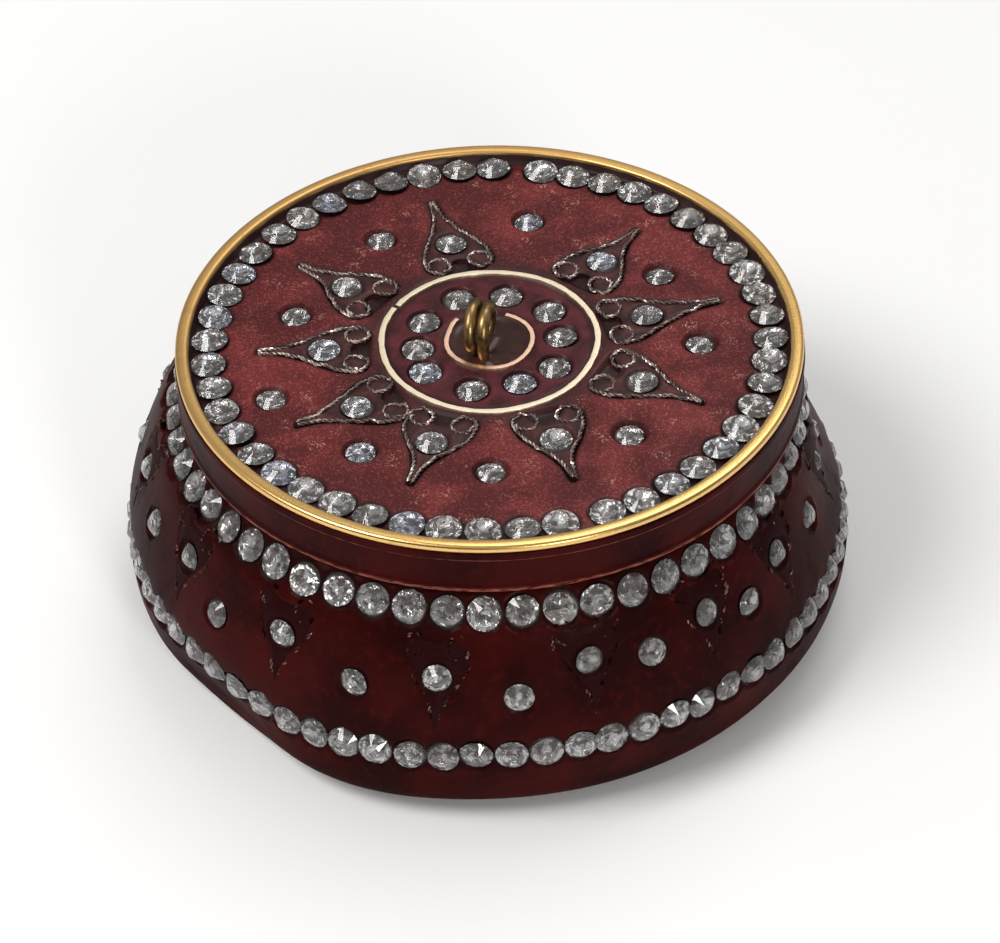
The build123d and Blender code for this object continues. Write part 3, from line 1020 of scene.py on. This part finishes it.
def set_stones(nodes, body, details, seed, tones):
    """Set the stones of some nodes. Tones gives the dullest and the brightest foil."""
    recipe = stone_setting()
    stone = cut_stone()
    for seed, node in enumerate(nodes, seed + 1):
        centres, aims, widths = (np.array(column) for column in zip(*PLACES[node]))
        mesh = bpy.data.meshes.new(node + "_places")
        mesh.from_pydata((centres * MM).tolist(), [], [])
        mesh.attributes.new("aim", "FLOAT_VECTOR", "POINT").data.foreach_set("vector", aims.ravel())
        mesh.attributes.new("width", "FLOAT", "POINT").data.foreach_set("value", widths * MM)
        made = recipe.grown(bpy.data.objects.new(node + "_places", mesh), {
            "Cut Stone": stone, "Glass": MATERIALS["stone_glass"], "Foil": MATERIALS["stone_foil"],
            "Tip": details.stone_tip, "Size Spread": details.stone_spread, "Seed": seed,
            "Dullest Tone": tones[0], "Brightest Tone": tones[1],
        })
        placed(made, "set_" + node, body, "stone_glass", None, node)
    bpy.data.objects.remove(stone)
    bpy.data.node_groups.remove(recipe.tree)


def wound_wires(name, paths, metal, details):
    """Twisted wire along millimetre paths."""
    curve = bpy.data.curves.new(name, "CURVE")
    curve.dimensions = "3D"
    for path in paths:
        spline = curve.splines.new("POLY")
        spline.points.add(len(path) - 1)
        spline.points.foreach_set("co", np.c_[path * MM, np.ones(len(path))].ravel())
    recipe = wire_twisting()
    mesh = recipe.grown(bpy.data.objects.new(name, curve), {
        "Strand Width": details.strand_width, "Twist Pitch": details.twist_pitch,
        "Metal": MATERIALS[metal],
    })
    bpy.data.node_groups.remove(recipe.tree)
    return finished_mesh(mesh, 60.0)


# Pieces of the box

LEAF_HOLLOW = 0.36
JACKET_GIRTH = 35
UNDERSIDE_RADII = (0.0, 10.0, 20.0, 27.0, 30.0)


def under_side_leaves(heights, bearings):
    """1 where the jacket lies under a side leaf, 0 elsewhere."""
    found = 0.0
    for centre, _, _, reach in SIDE_LEAVES:
        steep = -jacket_frame(bearing_of(centre), centre[2])[2][2]
        x = (centre[2] - heights) / steep
        off = (bearings - bearing_of(centre) + 180) % 360 - 180
        aside = np.abs(np.radians(off) * math.hypot(centre[0], centre[1]))
        depth = leaf_half_width(x, reach, SIDE_LEAF_SIZE) - aside
        inside = smoothstep(0.25, 0.65, depth) * smoothstep(-3.2, -2.7, x) * (x < reach)
        found = np.maximum(found, inside)
    return found


def jacket_mesh():
    """Jacket of lac outside the cup, hollowed under the leaves and round the stones."""
    bearings = all_round(760)
    heights = jacket_line[:, 1:]
    side = jacket_points(bearings, heights)
    hollow = LEAF_HOLLOW * under_side_leaves(heights, bearings)
    side[..., :2] *= 1 - hollow[..., None] / JACKET_GIRTH
    outer = np.concatenate([polar(bearings, np.array(UNDERSIDE_RADII)[:, None]), side])
    for node, pressing in JACKET_STONES.items():
        press_in(outer, PLACES[node], *pressing)
    # Painted shade and dirt round the stones
    shade_and_grime = stone_shade_and_grime(outer, [p for node in JACKET_STONES for p in PLACES[node]], 0.45)
    radius, bottom = CUP_RADIUS + 0.02, CUP_BOTTOM - 0.02
    inner = np.array([(radius, 23.9), (radius, bottom), (0.0, bottom)])
    inner = polar(bearings, inner[:, :1], inner[:, 1:])
    return ring_solid("jacket", np.concatenate([outer, inner]), 50.0, shade_and_grime)


def cup_mesh():
    inside, floor, brim = CUP_RADIUS - CUP_WALL, CUP_BOTTOM + 0.6, NECK_TOP - 0.02
    return turned("cup", [
        (0.0, CUP_BOTTOM, 0), (CUP_RADIUS, CUP_BOTTOM, 0.8), (CUP_RADIUS, brim, 0.28),
        (inside, brim, 0.28), (inside, floor, 0.9), (0.0, floor, 0),
    ])


def pan_mesh():
    hem = SKIRT_BOTTOM + 0.02
    return turned("lid_pan", [
        (0.0, NECK_TOP, 0), (SKIRT_INNER, NECK_TOP, 0.5), (SKIRT_INNER, hem, 0.2),
        (SKIRT_OUTER, hem, 0.2), (SKIRT_OUTER, PAN_TOP, 0.4), (0.0, PAN_TOP, 0),
    ])


def rim_mesh():
    return turned("rim", [
        (RIM_INNER, PAN_TOP, 0), (SKIRT_OUTER, PAN_TOP, 0), (SKIRT_OUTER, RIM_SHOULDER, 0),
        (RIM_RADIUS, RIM_SHOULDER, 0.32), (RIM_RADIUS, RIM_TOP, 0.42), (RIM_INNER, RIM_TOP, 0.42),
    ], 360, 50.0)


def skirt_band_mesh():
    """Lac band with a faint ledge under the rim and a soft lower lip."""
    top = RIM_SHOULDER - 0.01
    outline = rounded_outline([
        (SKIRT_OUTER, SKIRT_BOTTOM, 0.1), (30.05, SKIRT_BOTTOM, 0.3), (30.2, 24.95, 0.3),
        (29.98, 25.3, 0.25), (30.0, 28.2, 0.1), (30.12, 28.32, 0.08), (30.05, top, 0.15),
        (SKIRT_OUTER, top, 0),
    ])
    radius, height = outline[:, :1], outline[:, 1:]
    bearings = all_round(360)
    loose = smoothstep(SKIRT_OUTER + 0.05, 30.0, radius)
    radius = np.minimum(radius + 0.07 * loose * Waves(5, 14, 2.5)(bearings, height), 30.25)
    return ring_solid("skirt_band", polar(bearings, radius, height), 60.0)


BORDER_CHANNEL = 28.62
PLUG_RUN_UP = 0.55
bed_waves = Waves(21, 7, 5.0)


def field_height(points):
    """Height of the red lac's skin at (x, y), before stones are pressed in."""
    radius, bearing = from_middle(points)
    height = FIELD_TOP - 0.03 + 0.07 * bed_waves(bearing, radius)
    height = height - 0.1 * smoothstep(11.0, 10.6, radius)
    nearest = off_nearest(points, [centre for centre, _, _ in PLACES["border_stones"]])
    inside = smoothstep(1.62, 2.05, nearest) * smoothstep(27.5, 26.6, radius)
    shoulder = 0.75 * smoothstep(28.35, 28.7, radius)
    return BORDER_CHANNEL + (height - BORDER_CHANNEL) * inside + shoulder


def near_petals(points, outside, inside):
    """Share from 0, outside a leaf by one distance, to 1, inside it by the other."""
    share = np.zeros(points.shape[:-1])
    for centre, aim, towards, reach in PETALS:
        away = points - centre
        x, y = away @ towards, np.abs(away @ np.cross(aim, towards))
        depth = leaf_half_width(x, reach, 1.0) - y
        ends = smoothstep(-4.8, -4.1, x) * smoothstep(reach + 0.6, reach + 0.2, x)
        share = np.maximum(share, smoothstep(-outside, inside, depth) * ends)
    return share


def field_bed(points):
    """The red lac's skin, lower under the leaves."""
    return field_height(points) - 0.45 * near_petals(points, 0.4, 0.05)


def field_shade_and_grime(points):
    """Painted shade and dirt round the leaves and the stones, and painted shade under the rim."""
    singles = stone_shade_and_grime(points, PLACES["field_stones"], 0.7)
    row = stone_shade_and_grime(points, PLACES["border_stones"], 0.5)
    # Painted shade under the rim
    rim = smoothstep(27.6, 28.3, from_middle(points)[0])
    return np.clip(0.8 * singles + row + rim + near_petals(points, 0.9, -0.15), 0, 1)


def centre_bed(points):
    radius, bearing = from_middle(points)
    edge = smoothstep(9.6, 10.1, radius) + smoothstep(4.9, 4.3, radius)
    return FIELD_TOP - 0.06 + 0.06 * bed_waves(bearing + 40, radius * 2) - 0.12 * edge


def centre_shade_and_grime(points):
    # Painted shade and dirt beside the two strips and round the stones
    radius, _ = from_middle(points)
    edges = smoothstep(9.3, 10.0, radius) + smoothstep(4.7, 4.3, radius)
    return np.clip(edges + stone_shade_and_grime(points, PLACES["centre_stones"], 0.45), 0, 1)


def plug_bed(points):
    """Glossy lac that has run up round the wire."""
    path = loop_path()
    crossing = path[(path[:, 2] > SEAT_TOP - 0.5) & (path[:, 2] < SEAT_TOP + 0.3)]
    run_up = PLUG_RUN_UP * np.exp(-((off_nearest(points, crossing) / 0.75) ** 2))
    return SEAT_TOP - 0.02 + run_up + 0.08 * smoothstep(3.0, 3.84, from_middle(points)[0])


def bed_mesh(name, radii, columns, bed, crease=55.0, node=None, gap=0.0, lip=0.0, shade_and_grime=None):
    """A ring of lac on the pan, its top uneven and dented round the stones of a node."""
    rows = polar(all_round(columns), np.append(radii, [radii[-1], radii[0]])[:, None])
    top = rows[:-2]
    top[..., 2] = bed(top)
    rows[-2:, :, 2] = PAN_TOP
    if node:
        press_in(top, PLACES[node], gap, 2.0, lip)
    return ring_solid(name, rows, crease, shade_and_grime and shade_and_grime(top))


def field_mesh():
    radii = np.linspace(MID_RING_RADIUS + STRIP_WIDTH / 2, RIM_INNER, 84)
    return bed_mesh(
        "field", radii, 760, field_bed, node="field_stones", gap=0.12, lip=0.05, shade_and_grime=field_shade_and_grime
    )


def centre_mesh():
    radii = np.linspace(SEAT_RADIUS, MID_RING_RADIUS - STRIP_WIDTH / 2, 40)
    return bed_mesh(
        "centre", radii, 320, centre_bed, node="centre_stones", gap=0.05, lip=0.03,
        shade_and_grime=centre_shade_and_grime,
    )


def plug_mesh():
    return bed_mesh("plug", np.linspace(0, SEAT_RADIUS, 26), 96, plug_bed, 50.0)


def ring_strip(name, bearings, radii, width, high):
    """A strip of metal on edge along a ring, its top edge rounded."""
    path = polar(bearings, radii, high)
    half, depth = width / 2, high - (PAN_TOP + 0.1)
    section = [(half, -depth), (half, -0.1), (half * 0.84, -0.01), (0, 0), (-half * 0.84, -0.01),
               (-half, -0.1), (-half, -depth)]
    uneven = 1 + 0.05 * np.sin(np.radians(bearings) * 23) + 0.04 * np.sin(np.radians(bearings) * 41)
    sections = np.array([[(x * share, y) for x, y in section] for share in uneven])
    return sweep(name, path, sections, up=(0, 0, 1.0), crease=50.0)


MID_RING_JOINT = 150.5
MID_STRIP = 0.62
INNER_STRIP = 0.48


def mid_ring_mesh():
    """The pale strip, its two ends lapped and the rest a little out of round."""
    run = np.linspace(0, 357.6, 364)
    bearings = MID_RING_JOINT + run
    lap = smoothstep(12, 0, run) - smoothstep(352, 364, run)
    wander = 0.05 * np.sin(np.radians(bearings) * 3) + 0.04 * np.sin(np.radians(bearings) * 7 + 1)
    loose = smoothstep(0, 14, run) * smoothstep(363, 349, run)
    radii = MID_RING_RADIUS + 0.1 * lap + wander * loose
    return ring_strip("mid_ring", bearings, radii, MID_STRIP, FIELD_TOP + 0.06)


def inner_ring_mesh():
    """The open copper strip, kinked outwards at its first end."""
    bearings = np.linspace(133, 426, 150)
    kink = 0.3 * smoothstep(165, 133, bearings)
    wander = 0.06 * np.sin(np.radians(bearings) * 4)
    radii = INNER_RING_RADIUS + wander + kink
    return ring_strip("inner_ring", bearings, radii, INNER_STRIP, FIELD_TOP + 0.05)


LOOP_WIRE = 1.2
LOOP_RADIUS = 2.2
LOOP_PITCH = 1.34
LOOP_BEARING = 71.0
LOOP_PLACE = (-0.85, -0.45, SEAT_TOP + 2.0)
LOOP_BEND = 0.9
LOOP_FOOT = 2.4


def loop_path():
    """Centre line of the pull loop: foot, leg, one and a half turns, leg and foot."""
    turn = np.radians(np.linspace(180, -360, 130))
    across = np.linspace(-0.75, 0.75, 130) * LOOP_PITCH
    coil = np.stack([LOOP_RADIUS * np.cos(turn), across, LOOP_RADIUS * np.sin(turn)], axis=-1)
    under = NECK_TOP - LOOP_PLACE[2]
    bend = np.radians(np.linspace(0, 90, 9))
    ends = []
    for side, end in ((-1, coil[0]), (1, coil[-1])):
        leg = np.linspace(end, (end[0], end[1], under), 10)[1:-1]
        x = LOOP_RADIUS + np.append(LOOP_BEND - LOOP_BEND * np.cos(bend), LOOP_FOOT)
        z = under - LOOP_BEND * np.append(np.sin(bend), 1.0)
        ends.append(np.vstack([leg, np.stack([side * x, np.full(10, end[1]), z], axis=-1)]))
    local = np.vstack([ends[0][::-1], coil, ends[1]])
    ahead = polar(LOOP_BEARING, 1.0)
    aside = np.cross((0, 0, 1), ahead)
    return local[:, :1] * ahead + local[:, 1:2] * aside + local[:, 2:] * (0, 0, 1) + LOOP_PLACE


def pull_loop_mesh():
    turn = np.linspace(0, math.tau, 14, endpoint=False)
    section = LOOP_WIRE / 2 * np.stack([np.cos(turn), np.sin(turn)], axis=-1)
    return sweep("pull_loop", smooth_line(loop_path(), 0.22), section, crease=60.0)


PETAL_THICKNESS = 0.55
SIDE_LEAF_THICKNESS = 0.35


def stones_near(node, centre, reach):
    return [place for place in PLACES[node] if np.linalg.norm(place[0] - centre) < reach]


def petal_pieces():
    """Patches and wire lines of the lid's leaves."""
    chance = np.random.default_rng(31)
    patches, paths = [], []
    for centre, aim, towards, reach in PETALS:
        sideways = np.cross(aim, towards)
        shape = wobble(chance)
        bend = chance.uniform(-0.35, 0.35)

        def on_lid(flat, rise):
            x, y = flat[..., 0], flat[..., 1]
            y = y + bend * smoothstep(0.3 * reach, reach, x) * 0.8
            spots = centre + x[..., None] * towards + y[..., None] * sideways
            spots[..., 2] = field_height(spots) + rise
            return spots

        flat, inside = leaf_patch(reach, 1.0, shape, 44, 27, 1.65)
        waves = bed_waves(flat[..., 1] * 150, flat[..., 0] * 6)
        top = on_lid(flat, -0.04 + 0.08 * inside + 0.05 * waves)
        stone = stones_near("petal_stones", centre, 0.1)
        press_in(top, stone, 0.14, 2.0, 0.05)
        # Painted shade beside the wires at the patch's edges, and round its stone
        shade_and_grime = np.maximum(1 - inside, stone_shade_and_grime(top, stone, 0.4))
        patches.append(slab("petal", top, on_lid(flat, -PETAL_THICKNESS), shade_and_grime))
        for path in leaf_wire_paths(reach, 1.0, shape):
            paths.append(on_lid(path, 0.02 + 0.28 * bed_waves(path[:, 1] * 90, path[:, 0] * 9)))
    return patches, paths


def side_leaf_pieces():
    """Patches and wire lines of the leaves round the jacket, tips downwards."""
    chance = np.random.default_rng(32)
    patches, paths = [], []
    size = SIDE_LEAF_SIZE
    for centre, _, _, reach in SIDE_LEAVES:
        bearing, height = bearing_of(centre), centre[2]
        shape = wobble(chance)
        bend = chance.uniform(-0.3, 0.3)
        _, out, down = jacket_frame(bearing, height)
        radius = math.hypot(centre[0], centre[1])

        def on_side(flat, rise):
            x, y = flat[..., 0], flat[..., 1]
            y = y + bend * smoothstep(0.3 * reach, reach, x)
            spots = jacket_points(bearing + np.degrees(y / radius), height + x * down[2])
            return spots + out * np.asarray(rise)[..., None]

        flat, inside = leaf_patch(reach, size, shape, 36, 21, 0.7)
        top = on_side(flat, -0.06 + 0.12 * inside)
        press_in(top, stones_near("side_leaf_stones", centre, 1.2), 0.12, 2.0, 0.04)
        low = on_side(flat, -SIDE_LEAF_THICKNESS)
        # Painted shade beside the wires at the patch's edges
        patches.append(slab("side_leaf", top, low, 0.3 * (1 - inside)))
        for path in leaf_wire_paths(reach, size, shape):
            paths.append(on_side(path, 0.45 * bed_waves(path[:, 1] * 120, path[:, 0] * 7) - 0.19))
    return patches, paths


# Stage

# Lamps: place, width, power and colour
LAMPS = {
    "window": ((-0.36, -0.16, 0.56), 0.32, 2.6, (1.0, 0.98, 0.95)),
    "ceiling": ((0.16, 0.34, 0.66), 0.46, 1.5, (1.0, 0.98, 0.95)),
    "front": ((0.24, -0.62, 0.32), 0.16, 1.4, (1.0, 0.97, 0.93)),
}
LAMPS_AIM = Vector((0, 0, 0.02))
FLOOR_RADIUS = 2.4


def make_floor(scene, stage):
    finish = Finish("floor", Specular_IOR_Level=0.1)
    pale = finish.noise(60.0, 3.0)
    shade = tuple(c * 0.985 for c in stage.floor)
    colour = finish.layered(tuple(stage.floor), (pale, shade))
    finish.set(Base_Color=colour, Roughness=0.8 + 0.1 * pale)
    mesh = bpy.data.meshes.new("floor")
    mesh.from_pydata(polar(all_round(96), FLOOR_RADIUS).tolist(), [], [list(range(96))])
    mesh.materials.append(MATERIALS["floor"])
    floor = bpy.data.objects.new("floor", mesh)
    scene.collection.objects.link(floor)


def make_room(scene, stage):
    """Even light, with the viewer's side darker where it is mirrored or seen through glass."""
    scene.world = bpy.data.worlds.new("room")
    scene.world.use_nodes = True
    room = Wiring(scene.world.node_tree)
    toward = room.add(
        "ShaderNodeSeparateXYZ", {0: room.add("ShaderNodeTexCoord", output="Generated")}
    )
    rays = room.add("ShaderNodeLightPath", output="Is Glossy Ray")
    mirrored = rays.larger(rays.output("Is Transmission Ray"))
    viewer_side = toward.output("Y").between(0.1, -0.5) * toward.output("Z").between(0.8, 0.45)
    shade = 1.0 - stage.dark_side * viewer_side * mirrored
    back = room.tree.nodes["Background"].inputs
    room.feed(back["Color"], (1.0, 0.99, 0.975))
    room.feed(back["Strength"], shade * stage.room_light)


def make_lamps(scene):
    for name, (place, size, power, colour) in LAMPS.items():
        light = bpy.data.lights.new(name, "AREA")
        light.shape = "DISK"
        light.size = size
        light.energy = power
        light.color = colour
        lamp = bpy.data.objects.new(name, light)
        lamp.location = place
        lamp.rotation_euler = (LAMPS_AIM - Vector(place)).to_track_quat("-Z", "Y").to_euler()
        scene.collection.objects.link(lamp)


def make_camera(scene, stage):
    camera = bpy.data.cameras.new("camera")
    camera.sensor_fit = "HORIZONTAL"
    camera.sensor_width = 36.0
    camera.lens = stage.lens
    camera.clip_start = 0.01
    camera.clip_end = 10.0
    away = Vector((0, -math.cos(stage.elevation), math.sin(stage.elevation)))
    stand = Matrix.Translation(Vector((0, 0, RIM_SHOULDER * MM)) + away * stage.distance)
    down = math.pi / 2 - stage.elevation
    for turn, axis in ((down, "X"), (stage.pan, "Y"), (stage.tilt, "X"), (stage.roll, "Z")):
        stand = stand @ Matrix.Rotation(turn, 4, axis)
    viewer = bpy.data.objects.new("camera", camera)
    viewer.matrix_world = stand
    scene.collection.objects.link(viewer)
    scene.camera = viewer


# Settings

def tint(name, description, *screen):
    return FloatVectorProperty(
        name=name, description=description, default=paint(*screen), subtype="COLOR",
        size=3, min=0.0, max=1.0,
    )


def number(name, description, default, low=0.0, high=1.0, **kind):
    return FloatProperty(
        name=name, description=description, default=default, min=low, max=high, **kind
    )


def length(name, description, default, low, high):
    return number(name, description, default, low, high, unit="LENGTH")


def angle(name, description, degrees, low=-math.pi, high=math.pi):
    start = math.radians(degrees)
    return number(name, description, start, low, high, subtype="ANGLE", unit="ROTATION")


class BoxColours(bpy.types.PropertyGroup):
    """Colours of the lac, wire, glass and foil."""

    jacket: tint("Jacket", "Main colour of the jacket's lac", 56, 8, 6)
    jacket_dark: tint("Jacket Dark", "Darker clouds in the jacket's lac", 33, 5, 5)
    jacket_light: tint("Jacket Light", "Lighter grains in the jacket's lac", 80, 20, 14)
    # Painted highlight on the band's rounded ledge and lower lip
    rub_and_sheen: tint("Rubbed", "Edges of the lid's band where the lac is rubbed", 168, 96, 78)
    field: tint("Field", "Red lac of the lid", 108, 30, 30)
    field_dark: tint("Field Dark", "Shaded parts of the lid's red lac", 74, 18, 21)
    glitter: tint("Glitter", "Short fibres in the lid's red lac", 180, 98, 94)
    bright_glitter: tint("Bright Glitter", "Bunched fibres of the lid", 226, 178, 160)
    # Painted shade round stones and wires and under the rim, with dirt
    shade_and_grime: tint("Grime", "Dirt round stones and wires", 30, 14, 14)
    centre: tint("Centre", "Lac inside the middle ring", 84, 30, 38)
    centre_dark: tint("Centre Dark", "Darker clouds of the middle", 50, 16, 22)
    leaf: tint("Leaf", "Grey-brown lac of the leaves", 78, 40, 38)
    leaf_dark: tint("Leaf Dark", "Darker clouds of the leaves", 44, 22, 24)
    wire: tint("Wire", "Rubbed parts of the twisted wire", 240, 226, 218)
    wire_dark: tint("Wire Dark", "Tarnished parts of the twisted wire", 130, 112, 108)
    side_leaf: tint("Side Leaf", "Lac of the leaves round the jacket", 34, 10, 14)
    side_wire: tint("Side Wire", "Wire of the jacket's leaves, sunk in its lac", 150, 118, 112)
    glass: tint("Glass", "Tint of the stones", 250, 250, 251)
    foil: tint("Foil", "Silver foil behind the stones", 224, 224, 224)
    foil_dark: tint("Foil Dark", "Tarnished foil", 70, 54, 50)
    # Painted reflection of cool light, laid only on the lid's upward-facing stones
    foil_blue: tint("Foil Blue", "Foil of the bluish stones", 176, 194, 236)


class BoxDetails(bpy.types.PropertyGroup):
    """Sizes of the fine work."""

    strand_width: length(
        "Strand Width", "Width of one strand of the leaves' wire", 0.00021, 0.0001, 0.0004
    )
    twist_pitch: length(
        "Twist Pitch", "Length of one full twist of the leaves' wire", 0.00105, 0.0005, 0.003
    )
    stone_tip: angle("Stone Tip", "How far a stone may lean from its setting", 7, 0.0, 0.3)
    stone_spread: number(
        "Stone Spread", "Share by which stones differ in size", 0.035, high=0.1, subtype="FACTOR"
    )
    seed: IntProperty(name="Seed", description="Choice of leans and tones", default=4, min=0)


class BoxStage(bpy.types.PropertyGroup):
    """Camera and light."""

    distance: length("Distance", "From the camera to the middle of the lid", 0.330, 0.1, 2.0)
    elevation: angle("Elevation", "How far the camera looks down", 39.835, 0.0, 1.57)
    roll: angle("Roll", "Turn of the camera about its own line of sight", -1.6)
    pan: angle("Pan", "Turn of the camera to the side", -0.114)
    tilt: angle("Tilt", "Turn of the camera upwards", -2.207)
    lens: number("Lens", "Focal length", 124.2, 20, 300, unit="CAMERA")
    room_light: number("Room Light", "Even light from all round", 0.37, high=2.0)
    dark_side: number(
        "Dark Side", "How much darker the viewer's side of the room is in reflections", 0.85,
        subtype="FACTOR",
    )
    floor: FloatVectorProperty(
        name="Floor", description="Colour of the floor", default=(0.93, 0.94, 0.955),
        subtype="COLOR", size=3, min=0.0, max=1.0,
    )


class BoxSettings(bpy.types.PropertyGroup):
    """All settings of the trinket box."""

    colours: PointerProperty(type=BoxColours)
    details: PointerProperty(type=BoxDetails)
    stage: PointerProperty(type=BoxStage)


# Operators

class BoxOperator:
    """What the operators share. Each builds its pieces from the scene's settings."""

    bl_options = {"REGISTER", "UNDO"}

    def execute(self, context):
        self.build(context.scene.trinket_box)
        return {"FINISHED"}


class TRINKET_OT_materials(BoxOperator, bpy.types.Operator):
    """Make the materials of lac, brass, wire, glass and foil"""

    bl_idname = "trinket.materials"
    bl_label = "Materials"

    def build(self, settings):
        make_materials(settings.colours)


class TRINKET_OT_cup(BoxOperator, bpy.types.Operator):
    """Make the brass cup and the pan of the lid"""

    bl_idname = "trinket.cup"
    bl_label = "Cup and Pan"

    def build(self, settings):
        placed(cup_mesh(), "brass_cup", "base", "cup_brass", "cup_brass", "base_shell")
        placed(pan_mesh(), "brass_pan", "lid", "cup_brass", "cup_brass", "lid_shell")


class TRINKET_OT_jacket(BoxOperator, bpy.types.Operator):
    """Make the lac jacket and the band round the lid"""

    bl_idname = "trinket.jacket"
    bl_label = "Jacket and Band"

    def build(self, settings):
        placed(jacket_mesh(), "jacket", "base", "jacket_lac", "jacket_lac", "base_lac")
        placed(skirt_band_mesh(), "skirt_band", "lid", "jacket_lac", "band_lac", "skirt_lac")


class TRINKET_OT_side_leaves(BoxOperator, bpy.types.Operator):
    """Make the leaves round the jacket and their twisted wire"""

    bl_idname = "trinket.side_leaves"
    bl_label = "Side Leaves"

    def build(self, settings):
        patches, paths = side_leaf_pieces()
        patch = joined("side_leaves", patches)
        placed(patch, "side_leaves", "base", "leaf_lac", "side_leaf_lac", "side_leaf_inlays")
        wires = wound_wires("side_wires", paths, "side_wire", settings.details)
        placed(wires, "side_wires", "base", "leaf_wire", None)


class TRINKET_OT_lid_beds(BoxOperator, bpy.types.Operator):
    """Make the lid's beds of lac and the plug of the loop"""

    bl_idname = "trinket.lid_beds"
    bl_label = "Lid Beds"

    def build(self, settings):
        placed(field_mesh(), "field", "lid", "red_lac", "field_lac", "lid_lac")
        placed(centre_mesh(), "centre", "lid", "centre_lac", "centre_lac", "centre_lac")
        placed(plug_mesh(), "plug", "lid", "dark_lac", "plug_lac", "loop_seat")


class TRINKET_OT_petals(BoxOperator, bpy.types.Operator):
    """Make the leaves of the lid and their twisted wire"""

    bl_idname = "trinket.petals"
    bl_label = "Petals"

    def build(self, settings):
        patches, paths = petal_pieces()
        patch = joined("petals", patches)
        placed(patch, "petals", "lid", "leaf_lac", "leaf_lac", "petal_inlays")
        wires = wound_wires("petal_wire", paths, "leaf_wire", settings.details)
        placed(wires, "petal_wire", "lid", "leaf_wire", None, "petal_wires")


class TRINKET_OT_metalwork(BoxOperator, bpy.types.Operator):
    """Make the brass rim, the two strips and the pull loop"""

    bl_idname = "trinket.metalwork"
    bl_label = "Rim, Strips and Loop"

    def build(self, settings):
        placed(rim_mesh(), "rim", "lid", "rim_brass", "rim_brass", "rim_ring")
        placed(mid_ring_mesh(), "mid_strip", "lid", "strip_brass", "strip_brass", "mid_ring")
        placed(inner_ring_mesh(), "inner_strip", "lid", "copper_wire", "copper_strip", "inner_ring")
        placed(pull_loop_mesh(), "wire_loop", "lid", "loop_brass", "loop_brass", "pull_loop")


class TRINKET_OT_stones(BoxOperator, bpy.types.Operator):
    """Set the glass stones of the box and the lid"""

    bl_idname = "trinket.stones"
    bl_label = "Stones"

    def build(self, settings):
        details = settings.details
        # The jacket's stones get duller foil and the lid's brighter, partly bluish foil: painted
        # shade on the sides and painted light and reflection on the upward-facing lid, over a
        # random tone from stone to stone
        set_stones(JACKET_STONES, "base", details, details.seed, (0.0, 0.85))
        set_stones(LID_STONES, "lid", details, details.seed + 10, (0.55, 1.15))


class TRINKET_OT_stage(BoxOperator, bpy.types.Operator):
    """Make the floor, the lamps and the camera"""

    bl_idname = "trinket.stage"
    bl_label = "Stage"

    def build(self, settings):
        scene = bpy.context.scene
        scene.view_settings.view_transform = "Standard"
        make_floor(scene, settings.stage)
        make_room(scene, settings.stage)
        make_lamps(scene)
        make_camera(scene, settings.stage)


class TRINKET_PT_panel(bpy.types.Panel):
    """Lists the pieces and their settings"""

    bl_idname = "TRINKET_PT_panel"
    bl_label = "Trinket Box"
    bl_space_type = "VIEW_3D"
    bl_region_type = "UI"
    bl_category = "Trinket Box"

    def draw(self, context):
        column = self.layout.column(align=True)
        for operator in OPERATORS:
            column.operator(operator.bl_idname)
        settings = context.scene.trinket_box
        for group in (settings.details, settings.stage, settings.colours):
            box = self.layout.box()
            for name in group.__annotations__:
                box.prop(group, name)


OPERATORS = (
    TRINKET_OT_materials,
    TRINKET_OT_cup,
    TRINKET_OT_jacket,
    TRINKET_OT_side_leaves,
    TRINKET_OT_lid_beds,
    TRINKET_OT_petals,
    TRINKET_OT_metalwork,
    TRINKET_OT_stones,
    TRINKET_OT_stage,
)
CLASSES = (BoxColours, BoxDetails, BoxStage, BoxSettings, *OPERATORS, TRINKET_PT_panel)


def register():
    for item in CLASSES:
        bpy.utils.register_class(item)
    bpy.types.Scene.trinket_box = PointerProperty(type=BoxSettings)


def unregister():
    del bpy.types.Scene.trinket_box
    for item in reversed(CLASSES):
        bpy.utils.unregister_class(item)


def main():
    register()
    for operator in OPERATORS:
        group, name = operator.bl_idname.split(".")
        getattr(getattr(bpy.ops, group), name)()


if __name__ == "__main__":
    main()
